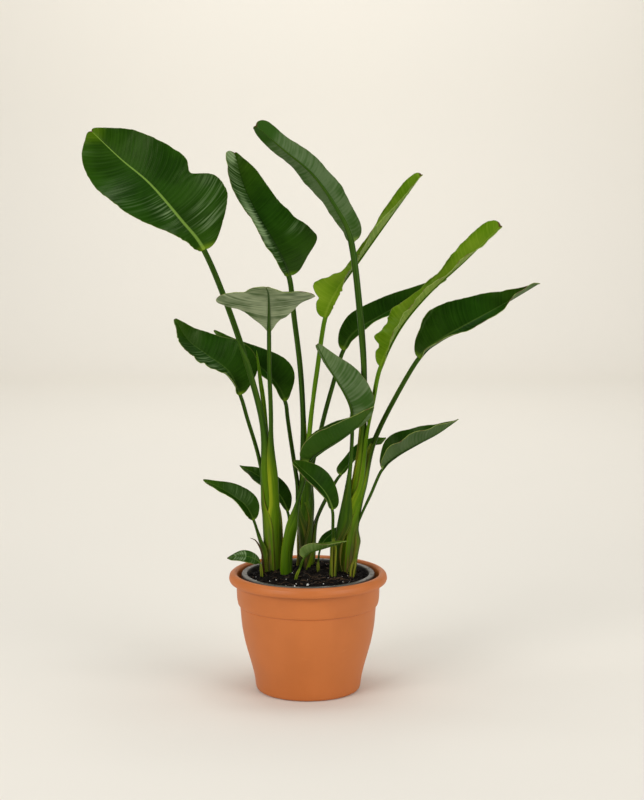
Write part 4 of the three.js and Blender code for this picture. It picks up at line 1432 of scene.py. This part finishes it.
MIDDLE_SHOOT = Shoot(
    axis=((-4, 38, 179), (-5, 38, 247)),
    leaves=(
        LeafPlan(
            name="middle_leaf_1", sheath=7, mouth=260, petiole=(4.6, 4.2),
            stalk=((-7, 38, 312), (-7, 42, 403), (-12, 42, 502), (-22, 40, 588), (-30, 36, 653)),
            blade=((-52, 40, 702), (-78, 46, 746), (-100, 54, 791), (-115, 64, 844)),
            left=(16, 24, 30, 32, 24), right=(28, 60, 41, 31, 11),
            face=((0.2, -1, 0.1), (0.2, -1, 0.3), (0.3, -1, 0.4)),
            fold=((46, 50, 20), (-5, 8, 20)), wave=(2, 3, 0.1), slant=(-14, 40),
            bulges=(Bulge(RIGHT, 0.2, 0.18, 0.06), Bulge(RIGHT, 0.36, -0.1, 0.05)),
            opens=OPEN_RIGHT, ripple=1.6, rib=-0.6, tone=0.0, glow=0.1,
            hems=(Hem(RIGHT, 0.12, 0.42, frill=2.6), Hem(LEFT, 0.8, 0.99, roll=50)),
            sheens=(
                Sheen(LEFT, 0.45, 0.4, 0.6, 0.7, 1.0), Sheen(LEFT, 0.97, 0.1, 0.6, 0.8, 1.0),
                Sheen(RIGHT, 0.3, 0.04, 0.75, 0.25, 0.3),
            ),
        ),
        LeafPlan(
            name="middle_leaf_2", sheath=9.2, mouth=230, petiole=(4.2, 3.6),
            stalk=((-2, 34, 345), (5, 32, 435), (14, 30, 502), (27, 24, 588)),
            blade=((45, 26, 629), (78, 34, 675), (130, 44, 746), (178, 58, 810)),
            left=(19, 12, 12, 18, 16), right=(10, 18, 26, 22, 14),
            bulges=(
                Bulge(LEFT, 0.175, 1.5, 0.06), Bulge(LEFT, 0.1, -0.2, 0.015), Bulge(LEFT, 0.25, 0.3, 0.02)
            ),
            ragged=0.035,
            face=((-0.2, -1, 0.2), (-0.6, -0.6, 0.5), (-0.6, -0.6, 0.5)),
            fold=((10, 26, 20), (40, 60, 30)), wave=(2.5, 3, 0.2), slant=(-14, 34),
            opens=(-1, 0.3, 0), tint=Tint.LIME, ripple=1.6, dry_tip=0.018, tone=0.12, glow=0.15,
            hems=(
                Hem(LEFT, 0.03, 0.3, frill=3.4), Hem(RIGHT, 0.05, 0.5, frill=2.2),
                Hem(LEFT, 0.62, 0.95, roll=40, frill=0.8), Hem(RIGHT, 0.55, 0.9, roll=60),
            ),
        ),
        LeafPlan(
            name="middle_leaf_3", sheath=11.4, mouth=150, petiole=(4, 3.2),
            stalk=((-18, 46, 327), (-28, 56, 390), (-33, 62, 424), (-37, 66, 451)),
            blade=((-52, 72, 479), (-79, 82, 506), (-113, 92, 530), (-152, 106, 561)),
            left=(8, 16, 20, 14, 6), right=(14, 38, 26, 13, 5),
            face=((0.2, -1, 0.3), (0.2, -1, 0.5), (0.2, -1, 0.5)),
            fold=((50, 50, 40), (8, 14, 20)), opens=(1, 0.2, 0), slit=(0.5, 0.6), worn=0.7, tone=0.02,
            glow=0.05, rib=0.1,
        ),
        LeafPlan(
            name="middle_leaf_4", sheath=13.5, mouth=170, petiole=(4.4, 3.4),
            stalk=((-2, 40, 300), (6, 46, 349), (24, 56, 422), (38, 62, 473), (56, 66, 533)),
            blade=((76, 70, 563), (118, 78, 588), (166, 88, 614), (221, 102, 644)),
            left=(15, 28, 24, 15, 6), right=(10, 20, 26, 22, 8),
            face=((-0.3, -1, 0.4), (-0.3, -1, 0.6), (-0.3, -1, 0.6)),
            fold=((14, 20, 20), (40, 50, 44)), wave=(2, 3, 0), opens=(-0.755, -0.655, 0),
            slit=(0.7, 0.8), worn=1.0, tone=0.02, glow=0.08, rib=0.15,
        ),
        LeafPlan(
            name="middle_leaf_5", sheath=15.6, mouth=95, petiole=(5, 2.4),
            stalk=((-3, 38, 211), (11, 42, 259), (28, 48, 295), (40, 52, 316), (51, 56, 333)),
            blade=((67, 62, 351), (90, 70, 371), (125, 82, 389)),
            left=(11, 13, 15, 12, 4), right=(6, 16, 16, 12, 4),
            face=((-0.4, -0.9, 0.5), (-0.3, -1, 0.7), (-0.2, -1, 0.7)),
            fold=((14, 20, 20), (50, 50, 40)), wave=(1, 3, 0), shared=1, opens=(-0.75, -0.65, 0),
            slit=(0.6, 1.0), keep=0.25, worn=0.3, tone=0.5, rib=0.2,
        ),
    ),
)

RIGHT_SHOOT = Shoot(
    axis=((60, 8, 183), (67, 6, 263)),
    flat=1.3,
    leaves=(
        LeafPlan(
            name="right_leaf_1", sheath=6.8, mouth=270, petiole=(5.8, 5),
            stalk=((75, 4, 318), (84, 0, 382), (87, -2, 496), (81, 0, 596), (67, 4, 707)),
            blade=((44, 8, 759), (7, 12, 811), (-38, 16, 849), (-80, 18, 885)),
            left=(34, 38, 37, 24, 20), right=(11, 21, 28, 22, 18),
            face=((-0.1, 1, 0.1), (-0.1, 1, 0.2), (-0.2, 1, 0.4)),
            fold=((50, 55, 30), (56, 50, 40)), slant=(-10, 34), opens=OPEN_LEFT, tint=Tint.GROWN_LIME_TIP,
            tone=0.3, frost=0.2,
        ),
        LeafPlan(
            name="right_leaf_2", sheath=8.9, mouth=250, petiole=(4, 3.4),
            stalk=((75, 2, 323), (89, -4, 399), (101, -10, 459), (113, -16, 516)),
            blade=((142, -20, 576), (185, -18, 628), (241, -10, 678), (298, 4, 732)),
            left=(16, 25, 14, 25, 24), right=(10, 24, 15, 18, 13),
            face=((-0.4, -0.8, 0.3), (-0.6, -0.6, 0.5), (-0.5, -0.7, 0.5)),
            fold=((20, 34, 10), (60, 68, 30)), wave=(2, 4, 0.1), slant=(-12, 32), ragged=0.035,
            bulges=(
                Bulge(LEFT, 0.1, -0.25, 0.018), Bulge(LEFT, 0.14, 0.3, 0.02), Bulge(LEFT, 0.22, -0.16, 0.02),
                Bulge(LEFT, 0.3, 0.16, 0.025),
            ),
            opens=OPEN_LEFT, tint=Tint.LIME, ripple=1.6, dry_tip=0.018, tone=0.4,
            hems=(
                Hem(LEFT, 0.03, 0.4, frill=3.4), Hem(RIGHT, 0.05, 0.5, frill=2.2),
                Hem(LEFT, 0.45, 0.72, roll=70), Hem(LEFT, 0.72, 0.97, roll=35),
            ),
        ),
        LeafPlan(
            name="right_leaf_3", sheath=10.7, mouth=230, petiole=(4.6, 3.6),
            stalk=((78, 8, 320), (97, 8, 378), (125, 6, 442), (173, 2, 527)),
            blade=((206, 4, 555), (249, 8, 580), (300, 16, 607), (361, 30, 641)),
            left=(20, 48, 38, 18, 6), right=(12, 24, 27, 24, 15),
            face=((-0.3, -1, 0.3), (-0.3, -1, 0.5), (-0.3, -1, 0.5)),
            fold=((6, 10, 14), (50, 34, 74)), curl=((0, 0, 0), (60, 20, 30)), wave=(1.5, 4, 0),
            opens=(-0.8, -0.6, 0), slit=(0.6, 0.7), dry_tip=0.02, tone=0.22, worn=1.0, rib=0.15,
            hems=(Hem(LEFT, 0.05, 0.3, roll=60), Hem(LEFT, 0.7, 0.97, roll=60)),
        ),
        LeafPlan(
            name="right_leaf_4", sheath=12, mouth=88, petiole=(3.2, 2.4),
            stalk=((68, 5, 236), (83, 2, 278), (98, -2, 311), (117, -6, 354)),
            blade=((138, -8, 374), (170, -10, 393), (203, -12, 411), (234, -14, 433)),
            left=(13, 32, 26, 14, 4), right=(18, 40, 40, 24, 7),
            face=((-0.4, -0.5, 0.9), (-0.4, -0.4, 0.9), (-0.4, -0.4, 0.9)),
            fold=((50, 44, 36), (60, 56, 50)), wave=(1.5, 4, 0.1), shared=1, opens=(-0.755, -0.655, 0),
            slit=(0.6, 0.8), worn=1.0, tone=0.2, glow=0.3,
            rib=0.2, frost=0.12,
        ),
        LeafPlan(
            name="right_leaf_5", sheath=13.3, mouth=180, petiole=(3.4, 3),
            stalk=((60, 4, 254), (63, -4, 320), (67, -14, 369), (69, -22, 420)),
            blade=((67, -26, 452), (53, -26, 482), (33, -24, 514), (14, -20, 550)),
            left=(18, 38, 36, 21, 9), right=(6, 14, 16, 14, 7),
            face=((0.3, 1, 0.1), (0.2, 1, 0.1), (0.1, 1, 0.2)),
            fold=((14, 20, 30), (70, 70, 60)), wave=(1, 3, 0), shared=1, opens=(0.75, -0.65, 0),
            slit=(0.7, 0.8), keep=0.25, worn=0.5, tone=0.12, glow=0.2, frost=0.28,
        ),
    ),
)

SMALL_SHOOTS = (
    Shoot(
        axis=((-35, 0, 184), (-32, -1, 228)),
        leaves=(
            LeafPlan(
                name="small_middle_leaf_1", sheath=5, mouth=60, petiole=(2.8, 2.2),
                stalk=((-30, 24, 258), (-33, 40, 277)),
                blade=((-44, 48, 299), (-63, 54, 319), (-85, 58, 334), (-110, 64, 347)),
                left=(5, 12, 20, 14, 4), right=(8, 18, 18, 11, 3),
                face=((0.2, -1, 0.4), (0.1, -1, 0.7), (0.1, -1, 0.7)),
                fold=((40, 36, 30), (8, 14, 20)), wave=(1, 3, 0), opens=OPEN_FRONT, worn=0.1, rib=0.25,
            ),
            LeafPlan(
                name="small_middle_leaf_2", sheath=9.5, mouth=125, petiole=(3.8, 3),
                stalk=((-20, -12, 286), (-9, -22, 329), (2, -34, 369)),
                blade=((20, -42, 387), (50, -50, 407), (76, -56, 428), (101, -60, 459)),
                left=(22, 30, 28, 16, 6), right=(24, 38, 36, 22, 8),
                face=((-0.5, -0.2, 0.8), (-0.5, -0.1, 0.9), (-0.5, -0.1, 0.9)),
                fold=((74, 68, 56), (60, 56, 50)), wave=(0.8, 3, 0), slant=(-14, 36),
                opens=(-0.6, 0.8, 0), worn=0.05, tone=0.42,
                rib=0.15, frost=0.0,
            ),
        ),
    ),
    Shoot(
        axis=((39, -14, 184), (40, -18, 222)),
        leaves=(
            LeafPlan(
                name="small_right_leaf", sheath=5.5, mouth=70, petiole=(2.8, 2.4),
                stalk=((39, -28, 260), (38, -40, 295)),
                blade=((28, -46, 321), (10, -50, 343), (-7, -52, 359), (-21, -52, 373)),
                left=(5, 12, 24, 20, 9), right=(11, 18, 24, 17, 7),
                face=((0.2, -1, 0.3), (0.2, -1, 0.5), (0.2, -1, 0.5)),
                fold=((50, 46, 40), (6, 10, 16)), wave=(1, 3, 0), opens=OPEN_FRONT, worn=0.4, tone=0.35,
                rib=0.45,
                hems=(Hem(LEFT, 0.1, 0.9, roll=50),),
            ),
        ),
    ),
    Shoot(
        axis=((-73, -8, 182), (-74, -8, 192)),
        leaves=(
            LeafPlan(
                name="low_left_leaf", sheath=2.4, mouth=20, petiole=(2, 1.6), stalk=((-76, -9, 204),),
                blade=((-90, -12, 213), (-107, -14, 216), (-127, -16, 213)),
                left=(5, 13, 14, 10, 3), right=(4, 9, 10, 6, 2),
                face=((0, -1, 0.9), (0, -1, 1), (0, -1, 1)), fold=((20, 20, 10), (16, 12, 10)),
                wave=(0.6, 2, 0),
                ripple=0.4, dry_tip=0.05, rib=0.2,
                sheens=(Sheen(RIGHT, 0.6, 0.4, 0.5, 0.7, 0.85), Sheen(LEFT, 0.6, 0.4, 0.5, 0.7, 0.8)),
            ),
        ),
    ),
    Shoot(
        axis=((16, 8, 184), (16, 10, 201)),
        leaves=(
            LeafPlan(
                name="low_back_leaf", sheath=2.4, mouth=20, petiole=(2, 1.6), stalk=((19, 14, 221),),
                blade=((27, 18, 235), (39, 22, 245), (55, 26, 256)),
                left=(5, 8, 8, 5, 2), right=(6, 14, 15, 10, 3),
                face=((-0.2, -1, 0.8), (-0.2, -1, 0.8), (-0.2, -1, 0.8)),
                fold=((30, 25, 20), (30, 25, 20)), wave=(0.5, 2, 0),
                ripple=0.4, rib=0.2,
            ),
        ),
    ),
    Shoot(
        axis=((-19, -34, 183), (-12, -35, 202)),
        leaves=(
            LeafPlan(
                name="low_front_leaf", sheath=2.4, mouth=20, petiole=(2, 1.7), stalk=((-6, -36, 219),),
                blade=((5, -38, 228), (20, -40, 233), (39, -42, 239), (60, -44, 246)),
                left=(13, 13, 8, 6, 3), right=(14, 14, 8, 6, 3),
                face=((-0.3, -0.1, 1), (-0.3, -0.1, 1), (-0.3, -0.1, 1)),
                fold=((60, 70, 70), (60, 70, 70)), curl=((30, 30, 30), (30, 30, 30)), wave=(0.4, 2, 0),
                tint=Tint.HALF, ripple=0.4, worn=0.1,
            ),
        ),
    ),
    Shoot(
        axis=((69, -14, 183), (72, -15, 202)),
        leaves=(
            LeafPlan(
                name="new_sprout", sheath=4, mouth=30, petiole=(3, 2), stalk=((78, -17, 222),),
                tint=Tint.LIME, opens=OPEN_FRONT,
                worn=0.9, tone=0.7,
            ),
        ),
    ),
    Shoot(
        axis=((-70, 4, 181), (-73, -2, 218)),
        leaves=(
            LeafPlan(
                name="dry_sheath_tip", sheath=2, mouth=20, petiole=(1.8, 1.2),
                stalk=((-82, 0, 237), (-92, 0, 242)), opens=OPEN_FRONT,
                worn=1.0, dry=1.0,
            ),
        ),
    ),
)


# ------------------------------------------------------------------ pots
Profile = list[tuple[float, float]]


def rounded(profile: Profile, radius: float, steps: int = 4) -> Profile:
    """Round the inner corners of an open profile.

    Args:
        profile: Corners as radius and height, in millimetres.
        radius: How far each rounding reaches along its two sides, at most.
        steps: Points that replace a corner.

    Returns:
        The profile with more points.
    """
    points = [profile[0]]
    for before, corner, after in zip(profile, profile[1:], profile[2:]):
        here = Vector(corner)
        back, ahead = Vector(before) - here, Vector(after) - here
        start = here + back.normalized() * min(radius, 0.42 * back.length)
        end = here + ahead.normalized() * min(radius, 0.42 * ahead.length)
        for step in range(steps):
            t = step / (steps - 1)
            points.append(tuple(start.lerp(here, t).lerp(here.lerp(end, t), t)))
    return [*points, profile[-1]]


def turned(profile: Profile, steps: int = 160) -> bmesh.types.BMesh:
    """Spin a profile that starts and ends on the axis into a closed shape.

    Args:
        profile: Points as radius and height, in millimetres.
        steps: Faces round the shape.

    Returns:
        The bmesh, with its doubles merged and its faces outwards.
    """
    bm = bmesh.new()
    line = [bm.verts.new((radius, 0, height)) for radius, height in profile]
    edges = [bm.edges.new(pair) for pair in zip(line, line[1:])]
    bmesh.ops.spin(
        bm, geom=[*line, *edges], cent=(0, 0, 0), axis=(0, 0, 1), angle=math.tau, steps=steps,
        use_merge=True,
    )
    weld(bm, 1e-3)
    return bm


@dataclass
class Pots:
    """The terracotta-coloured outer pot and the grey nursery pot in it."""

    outer_outside: tuple[tuple[float, float], ...] = (
        (77.6, 0), (81.8, 1.6), (83.3, 7), (84.9, 20), (88.5, 36), (94.7, 58), (100.1, 77), (104.8, 102),
        (107.3, 131), (107.6, 135.4), (107.2, 136.6), (110, 137.3), (111, 139), (112.6, 148), (113, 166),
    )
    outer_roll: tuple[tuple[float, float], ...] = (
        (115.2, 179), (118.4, 181.6), (121, 179), (121.2, 173.8), (123.2, 173.8),
        (125, 178.6), (123.8, 184.8), (119.8, 188.2), (115.6, 188.8), (112.3, 186),
    )
    outer_inside: tuple[tuple[float, float], ...] = (
        (109.6, 166), (103.6, 120), (97.4, 77), (85.8, 36), (80.4, 7), (76.6, 3), (0, 3)
    )
    liner: tuple[tuple[float, float], ...] = (
        (0, 3.3), (68, 3.3), (71.2, 8), (97, 172), (97.8, 184.8), (103.4, 184.8), (103.6, 174), (104.9, 174),
        (105, 185.6), (104.2, 186.6), (97, 186.6), (96.2, 184.6), (95.4, 172), (69.6, 8), (67, 4.9), (0, 4.9),
    )

    def build(self, palette: Palette) -> None:
        """Spin and dress both pots.

        Args:
            palette: The materials.
        """
        body = rounded([(0, 0), *self.outer_outside], 9.0)
        roll = rounded([self.outer_outside[-1], *self.outer_roll, self.outer_inside[0]], 1.5)
        inside = rounded([*self.outer_inside], 9.0)
        outer = finished(turned([*body[:-1], *roll, *inside[1:]]), "outer_pot_shell", [palette[Finish.POT]])
        hand_over(outer, "terracotta_plastic", "outer_pot")
        liner = finished(turned(rounded([*self.liner], 0.5, 3)), "nursery_pot_shell", [palette[Finish.LINER]])
        hand_over(liner, "grey_plastic", "nursery_pot")


# ------------------------------------------------------------------ potting mix
@dataclass
class PottingMix:
    """The soil's body, and the crumbs, bark, fibres and perlite that lie on it."""

    radius: float = 95.0
    edge: float = 179.5        # height of the mix at the liner's wall
    crown: float = 5.0         # how much higher its middle is
    cells: int = 130           # faces across the top
    # where the mix is heaped up: across, behind, how high and how wide
    mounds: tuple[tuple[float, float, float, float], ...] = (
        (2, 48, 15, 22), (-54, 22, 5, 20), (58, 8, 6, 22), (-30, 0, 4, 16), (24, 30, 7, 18)
    )
    # radius and height of the block's side, down to its bottom
    walls: tuple[tuple[float, float], ...] = (
        (95.0, 170.0), (87.0, 120.0), (77.5, 60.0), (69.5, 9.0), (66.0, 5.3)
    )
    crumbs: int = 800
    chips: int = 90
    fibres: int = 80
    grains: int = 20
    # the smallest and the largest of each, in length
    crumb_mm: tuple[float, float] = (1.4, 6.0)
    chip_mm: tuple[float, float] = (3.5, 11)
    fibre_mm: tuple[float, float] = (8, 24)
    grain_mm: tuple[float, float] = (0.9, 2.3)
    # the larger grains of perlite: across, behind and how wide
    white_spots: tuple[Point, ...] = (
        (0.0, -70.0, 5.0), (-18.0, -63.0, 2.6), (-20.0, -78.0, 2.8), (41.0, -72.0, 2.8),
        (-64.0, -60.0, 2.6), (-81.0, -34.0, 2.6), (26.0, -58.0, 2.2),
    )

    def height(self, x: float, y: float) -> float:
        """Height of the mix at a point: a low crown with lumps, heaped up round the shoots.

        Args:
            x: To the right of the pot's axis.
            y: Behind it.

        Returns:
            Above the floor.
        """
        share = min(1.0, math.hypot(x, y) / self.radius)
        lumps = 1.3 * math.sin(x * 0.11 + 1.7) * math.cos(y * 0.13 + 0.4)
        lumps += 0.8 * math.sin(x * 0.31 + y * 0.23)
        lumps += 0.6 * math.cos(y * 0.37 - x * 0.19)
        heaps = sum(
            rise * math.exp(-((x - east) ** 2 + (y - north) ** 2) / wide**2)
            for east, north, rise, wide in self.mounds
        )
        return self.edge + self.crown * (1 - share * share) + (heaps + lumps) * (1 - share**4)

    def build_body(self, palette: Palette) -> bpy.types.Object:
        """The mix itself: a lumpy top on a tapering block.

        Args:
            palette: The materials.

        Returns:
            The piece.
        """
        bm = bmesh.new()
        for vert, column, row in grid_places(bm, self.cells, self.cells):
            across, along = 2 * column / self.cells - 1, 2 * row / self.cells - 1
            x = across * math.sqrt(1 - along * along / 2) * self.radius
            y = along * math.sqrt(1 - across * across / 2) * self.radius
            spot = Vector((x, y, 0))
            rough = 2.6 * noise.noise(spot / 8) + 1.6 * abs(noise.noise(spot / 3.4))
            rough += 0.6 * noise.noise(spot / 1.6)
            inner = 1 - ramp(math.hypot(x, y), self.radius - 3, self.radius)
            vert.co = (x, y, self.height(x, y) + (rough - 0.6) * inner)
        for radius, level in self.walls:
            edges = [edge for edge in bm.edges if edge.is_boundary]
            made = bmesh.ops.extrude_edge_only(bm, edges=edges)["geom"]
            for vert in [part for part in made if isinstance(part, bmesh.types.BMVert)]:
                flat = Vector((vert.co.x, vert.co.y, 0)).normalized() * radius
                vert.co = (flat.x, flat.y, level)
        weld(bm)
        return finished(bm, "potting_mix_body", [palette[Finish.PEAT]])

    def scatter(
        self, bm: bmesh.types.BMesh, chance: random.Random, size: Point, spot: tuple[float, float],
        sink: float, divisions: int
    ) -> None:
        """Drop one rough bit onto the mix.

        Args:
            bm: Where it is added.
            chance: Seeded randomness.
            size: Its full size in its own directions, in millimetres.
            spot: Its place across the pot.
            sink: How far its middle lies under the surface, in its own heights.
            divisions: 1 for a plain bit, 2 for a rounder one.
        """
        shade = bm.verts.layers.float["shade"]
        made = bmesh.ops.create_icosphere(bm, subdivisions=divisions, radius=0.5)["verts"]
        turn = math.tau * chance.random()
        tilt = chance.uniform(-0.35, 0.35)
        tone, seed = chance.random(), chance.random() * 50
        base = self.height(*spot) + 0.6 - sink * size[2]
        for vert in made:
            rough = 1 + 0.5 * noise.noise(vert.co * 2.6 + Vector((seed, 0, 0)))
            x, y, z = [part * full * rough for part, full in zip(vert.co, size)]
            east = spot[0] + x * math.cos(turn) - y * math.sin(turn)
            north = spot[1] + x * math.sin(turn) + y * math.cos(turn)
            vert.co = (east, north, base + (z + tilt * x))
            vert[shade] = tone

    def somewhere(self, chance: random.Random, reach: float) -> tuple[float, float]:
        """A random place on the mix, spread evenly."""
        angle, radius = math.tau * chance.random(), reach * math.sqrt(chance.random())
        return radius * math.cos(angle), radius * math.sin(angle)

    def build_bits(self, palette: Palette, name: str, finish: Finish, kind: str) -> bpy.types.Object:
        """One kind of loose bits on top of the mix, as one piece.

        Args:
            palette: The materials.
            name: The piece's name.
            finish: What the bits are made of.
            kind: crumbs, chips or grains.

        Returns:
            The piece.
        """
        chance = random.Random(f"{SEED}{kind}")
        bm = bmesh.new()
        bm.verts.layers.float.new("shade")
        if kind == "crumbs":
            for _ in range(self.crumbs):
                wide = chance.uniform(*self.crumb_mm)
                size = (wide, wide * chance.uniform(0.6, 1), wide * 0.75)
                self.scatter(bm, chance, size, self.somewhere(chance, self.radius - 4), 0.1, 1)
        elif kind == "chips":
            for _ in range(self.chips):
                long = chance.uniform(*self.chip_mm)
                size = (long, long * chance.uniform(0.25, 0.6), chance.uniform(1.2, 2.4))
                self.scatter(bm, chance, size, self.somewhere(chance, self.radius - 6), -0.1, 1)
        else:
            for _ in range(self.grains):
                wide = chance.uniform(*self.grain_mm)
                self.scatter(bm, chance, (wide, wide, wide), self.somewhere(chance, self.radius - 5), -0.1, 2)
            for x, y, wide in self.white_spots:
                self.scatter(bm, chance, (wide, wide * 0.85, wide * 0.8), (x, y), -0.2, 2)
        bmesh.ops.recalc_face_normals(bm, faces=bm.faces)
        return finished(bm, name, [palette[finish]])

    def build_fibres(self, palette: Palette) -> bpy.types.Object:
        """Thin curved fibres lying on the mix.

        Args:
            palette: The materials.

        Returns:
            The piece.
        """
        chance = random.Random(f"{SEED}fibres")
        around, rows = 4, 8
        bm = bmesh.new()
        shade = bm.verts.layers.float.new("shade")
        for _ in range(self.fibres):
            long, bend = chance.uniform(*self.fibre_mm), chance.uniform(-0.6, 0.6)
            turn = math.tau * chance.random()
            thick, tone, hump = chance.uniform(0.25, 0.5), chance.random(), chance.uniform(0.3, 2.2)
            spot = self.somewhere(chance, self.radius - 16)
            for vert, column, row in grid_places(bm, around, rows):
                share, side = row / rows, math.tau * column / around
                width = thick * (1 - 0.6 * share)
                ahead = (share - 0.5) * long
                aside = bend * long * share * (1 - share) + width * math.cos(side)
                x = spot[0] + ahead * math.cos(turn) - aside * math.sin(turn)
                y = spot[1] + ahead * math.sin(turn) + aside * math.cos(turn)
                z = self.height(x, y) + 0.9 + hump * math.sin(math.pi * share) + width * math.sin(side)
                vert.co = (x, y, z)
                vert[shade] = tone
        weld(bm)
        return finished(bm, "potting_mix_fibres", [palette[Finish.FIBRE]])

    def build(self, palette: Palette) -> None:
        """Build the mix and all that lies on it.

        Args:
            palette: The materials.
        """
        hand_over(self.build_body(palette), "soil", "soil")
        hand_over(self.build_bits(palette, "potting_mix_crumbs", Finish.PEAT, "crumbs"), "soil")
        hand_over(self.build_bits(palette, "potting_mix_bark", Finish.BARK, "chips"), "soil")
        hand_over(self.build_bits(palette, "potting_mix_perlite", Finish.PERLITE, "grains"), "soil")
        hand_over(self.build_fibres(palette), "soil")


# ------------------------------------------------------------------ studio
@dataclass(frozen=True)
class Lamp:
    """A soft square light: where it stands and looks, its side in metres and its watts."""

    name: str
    place: Point
    target: Point
    side: float
    watts: float
    colour: str = "#ffffff"


@dataclass
class Studio:
    """Cream seamless paper, soft lights and the camera at the photograph's viewpoint."""

    camera_place: Point = (0.022, -2.7, 0.812)
    pitch_down: float = 7.4        # degrees
    lens: float = 78.48
    sensor: float = 36.0
    ambient: float = 0.36
    room: str = "#fbf9f5"          # the colour of what the room gives back
    paper_side: float = 9000.0     # half its width, and how far it comes forward
    paper_foot: float = 4200.0     # where it starts to bend up behind the plant
    paper_bend: float = 1200.0     # radius of the bend
    bend_steps: int = 16
    paper_top: float = 5000.0
    lamps: tuple[Lamp, ...] = (
        Lamp("key_left", (-2.5, -2.7, 1.9), (0, 0, 0.2), 2.0, 72),
        Lamp("fill_right", (2.8, -2.3, 1.5), (0, 0, 0.2), 2.2, 54),
        Lamp("floor_wash", (0, 0.6, 3.6), (0, 2.6, 0.8), 2.4, 67),
        Lamp("backdrop_wash", (0, 3.0, 3.4), (0, 5.4, 1.7), 2.8, 44),
    )

    def build_paper(self, palette: Palette) -> bpy.types.Object:
        """Floor that sweeps up into the backdrop.

        Args:
            palette: The materials.

        Returns:
            The stage piece.
        """
        bm = bmesh.new()
        foot, bend, side = self.paper_foot, self.paper_bend, self.paper_side
        profile = [(-side, 0), (foot, 0)]
        for step in range(1, self.bend_steps + 1):
            angle = step * math.pi / (2 * self.bend_steps)
            profile.append((foot + bend * math.sin(angle), bend * (1 - math.cos(angle))))
        profile.append((foot + bend, self.paper_top))
        line = [bm.verts.new((-side, y, z)) for y, z in profile]
        edges = [bm.edges.new(pair) for pair in zip(line, line[1:])]
        made = bmesh.ops.extrude_edge_only(bm, edges=edges)["geom"]
        moved = [part for part in made if isinstance(part, bmesh.types.BMVert)]
        bmesh.ops.translate(bm, vec=(2 * side, 0, 0), verts=moved)
        paper = finished(bm, "studio_paper", [palette[Finish.PAPER]])
        return paper

    def build(self, palette: Palette) -> None:
        """Set the paper, the world's light, the lamps and the camera.

        Args:
            palette: The materials.
        """
        self.build_paper(palette)
        world = bpy.data.worlds.new("studio_room")
        world.use_nodes = True
        background = world.node_tree.nodes["Background"]
        background.inputs["Color"].default_value = linear(self.room)
        background.inputs["Strength"].default_value = self.ambient
        bpy.context.scene.world = world
        bpy.context.scene.view_settings.view_transform = "Standard"
        for lamp in self.lamps:
            light = bpy.data.lights.new(lamp.name, "AREA")
            light.shape, light.size, light.energy = "SQUARE", lamp.side, lamp.watts
            light.color = linear(lamp.colour)[:3]
            holder = bpy.data.objects.new(lamp.name, light)
            holder.location = lamp.place
            ray = Vector(lamp.target) - Vector(lamp.place)
            holder.rotation_euler = ray.to_track_quat("-Z", "Y").to_euler()
            bpy.context.scene.collection.objects.link(holder)
        lens = bpy.data.cameras.new("photo_viewpoint")
        lens.lens, lens.sensor_width = self.lens, self.sensor
        lens.clip_start, lens.clip_end = 0.1, 60
        camera = bpy.data.objects.new("photo_viewpoint", lens)
        camera.location = self.camera_place
        camera.rotation_euler = (math.radians(90 - self.pitch_down), 0, 0)
        bpy.context.scene.collection.objects.link(camera)
        bpy.context.scene.camera = camera


def main() -> None:
    """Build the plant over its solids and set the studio."""
    logging.basicConfig(level=logging.INFO, format="%(name)s: %(message)s")
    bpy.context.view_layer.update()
    palette = Palette()
    Pots().build(palette)
    PottingMix().build(palette)
    number = 1
    for shoot in (LEFT_SHOOT, MIDDLE_SHOOT, RIGHT_SHOOT, *SMALL_SHOOTS):
        number += shoot.grow(palette, number)
    Studio().build(palette)
    LOG.info("all pieces built")


if __name__ == "__main__":
    main()
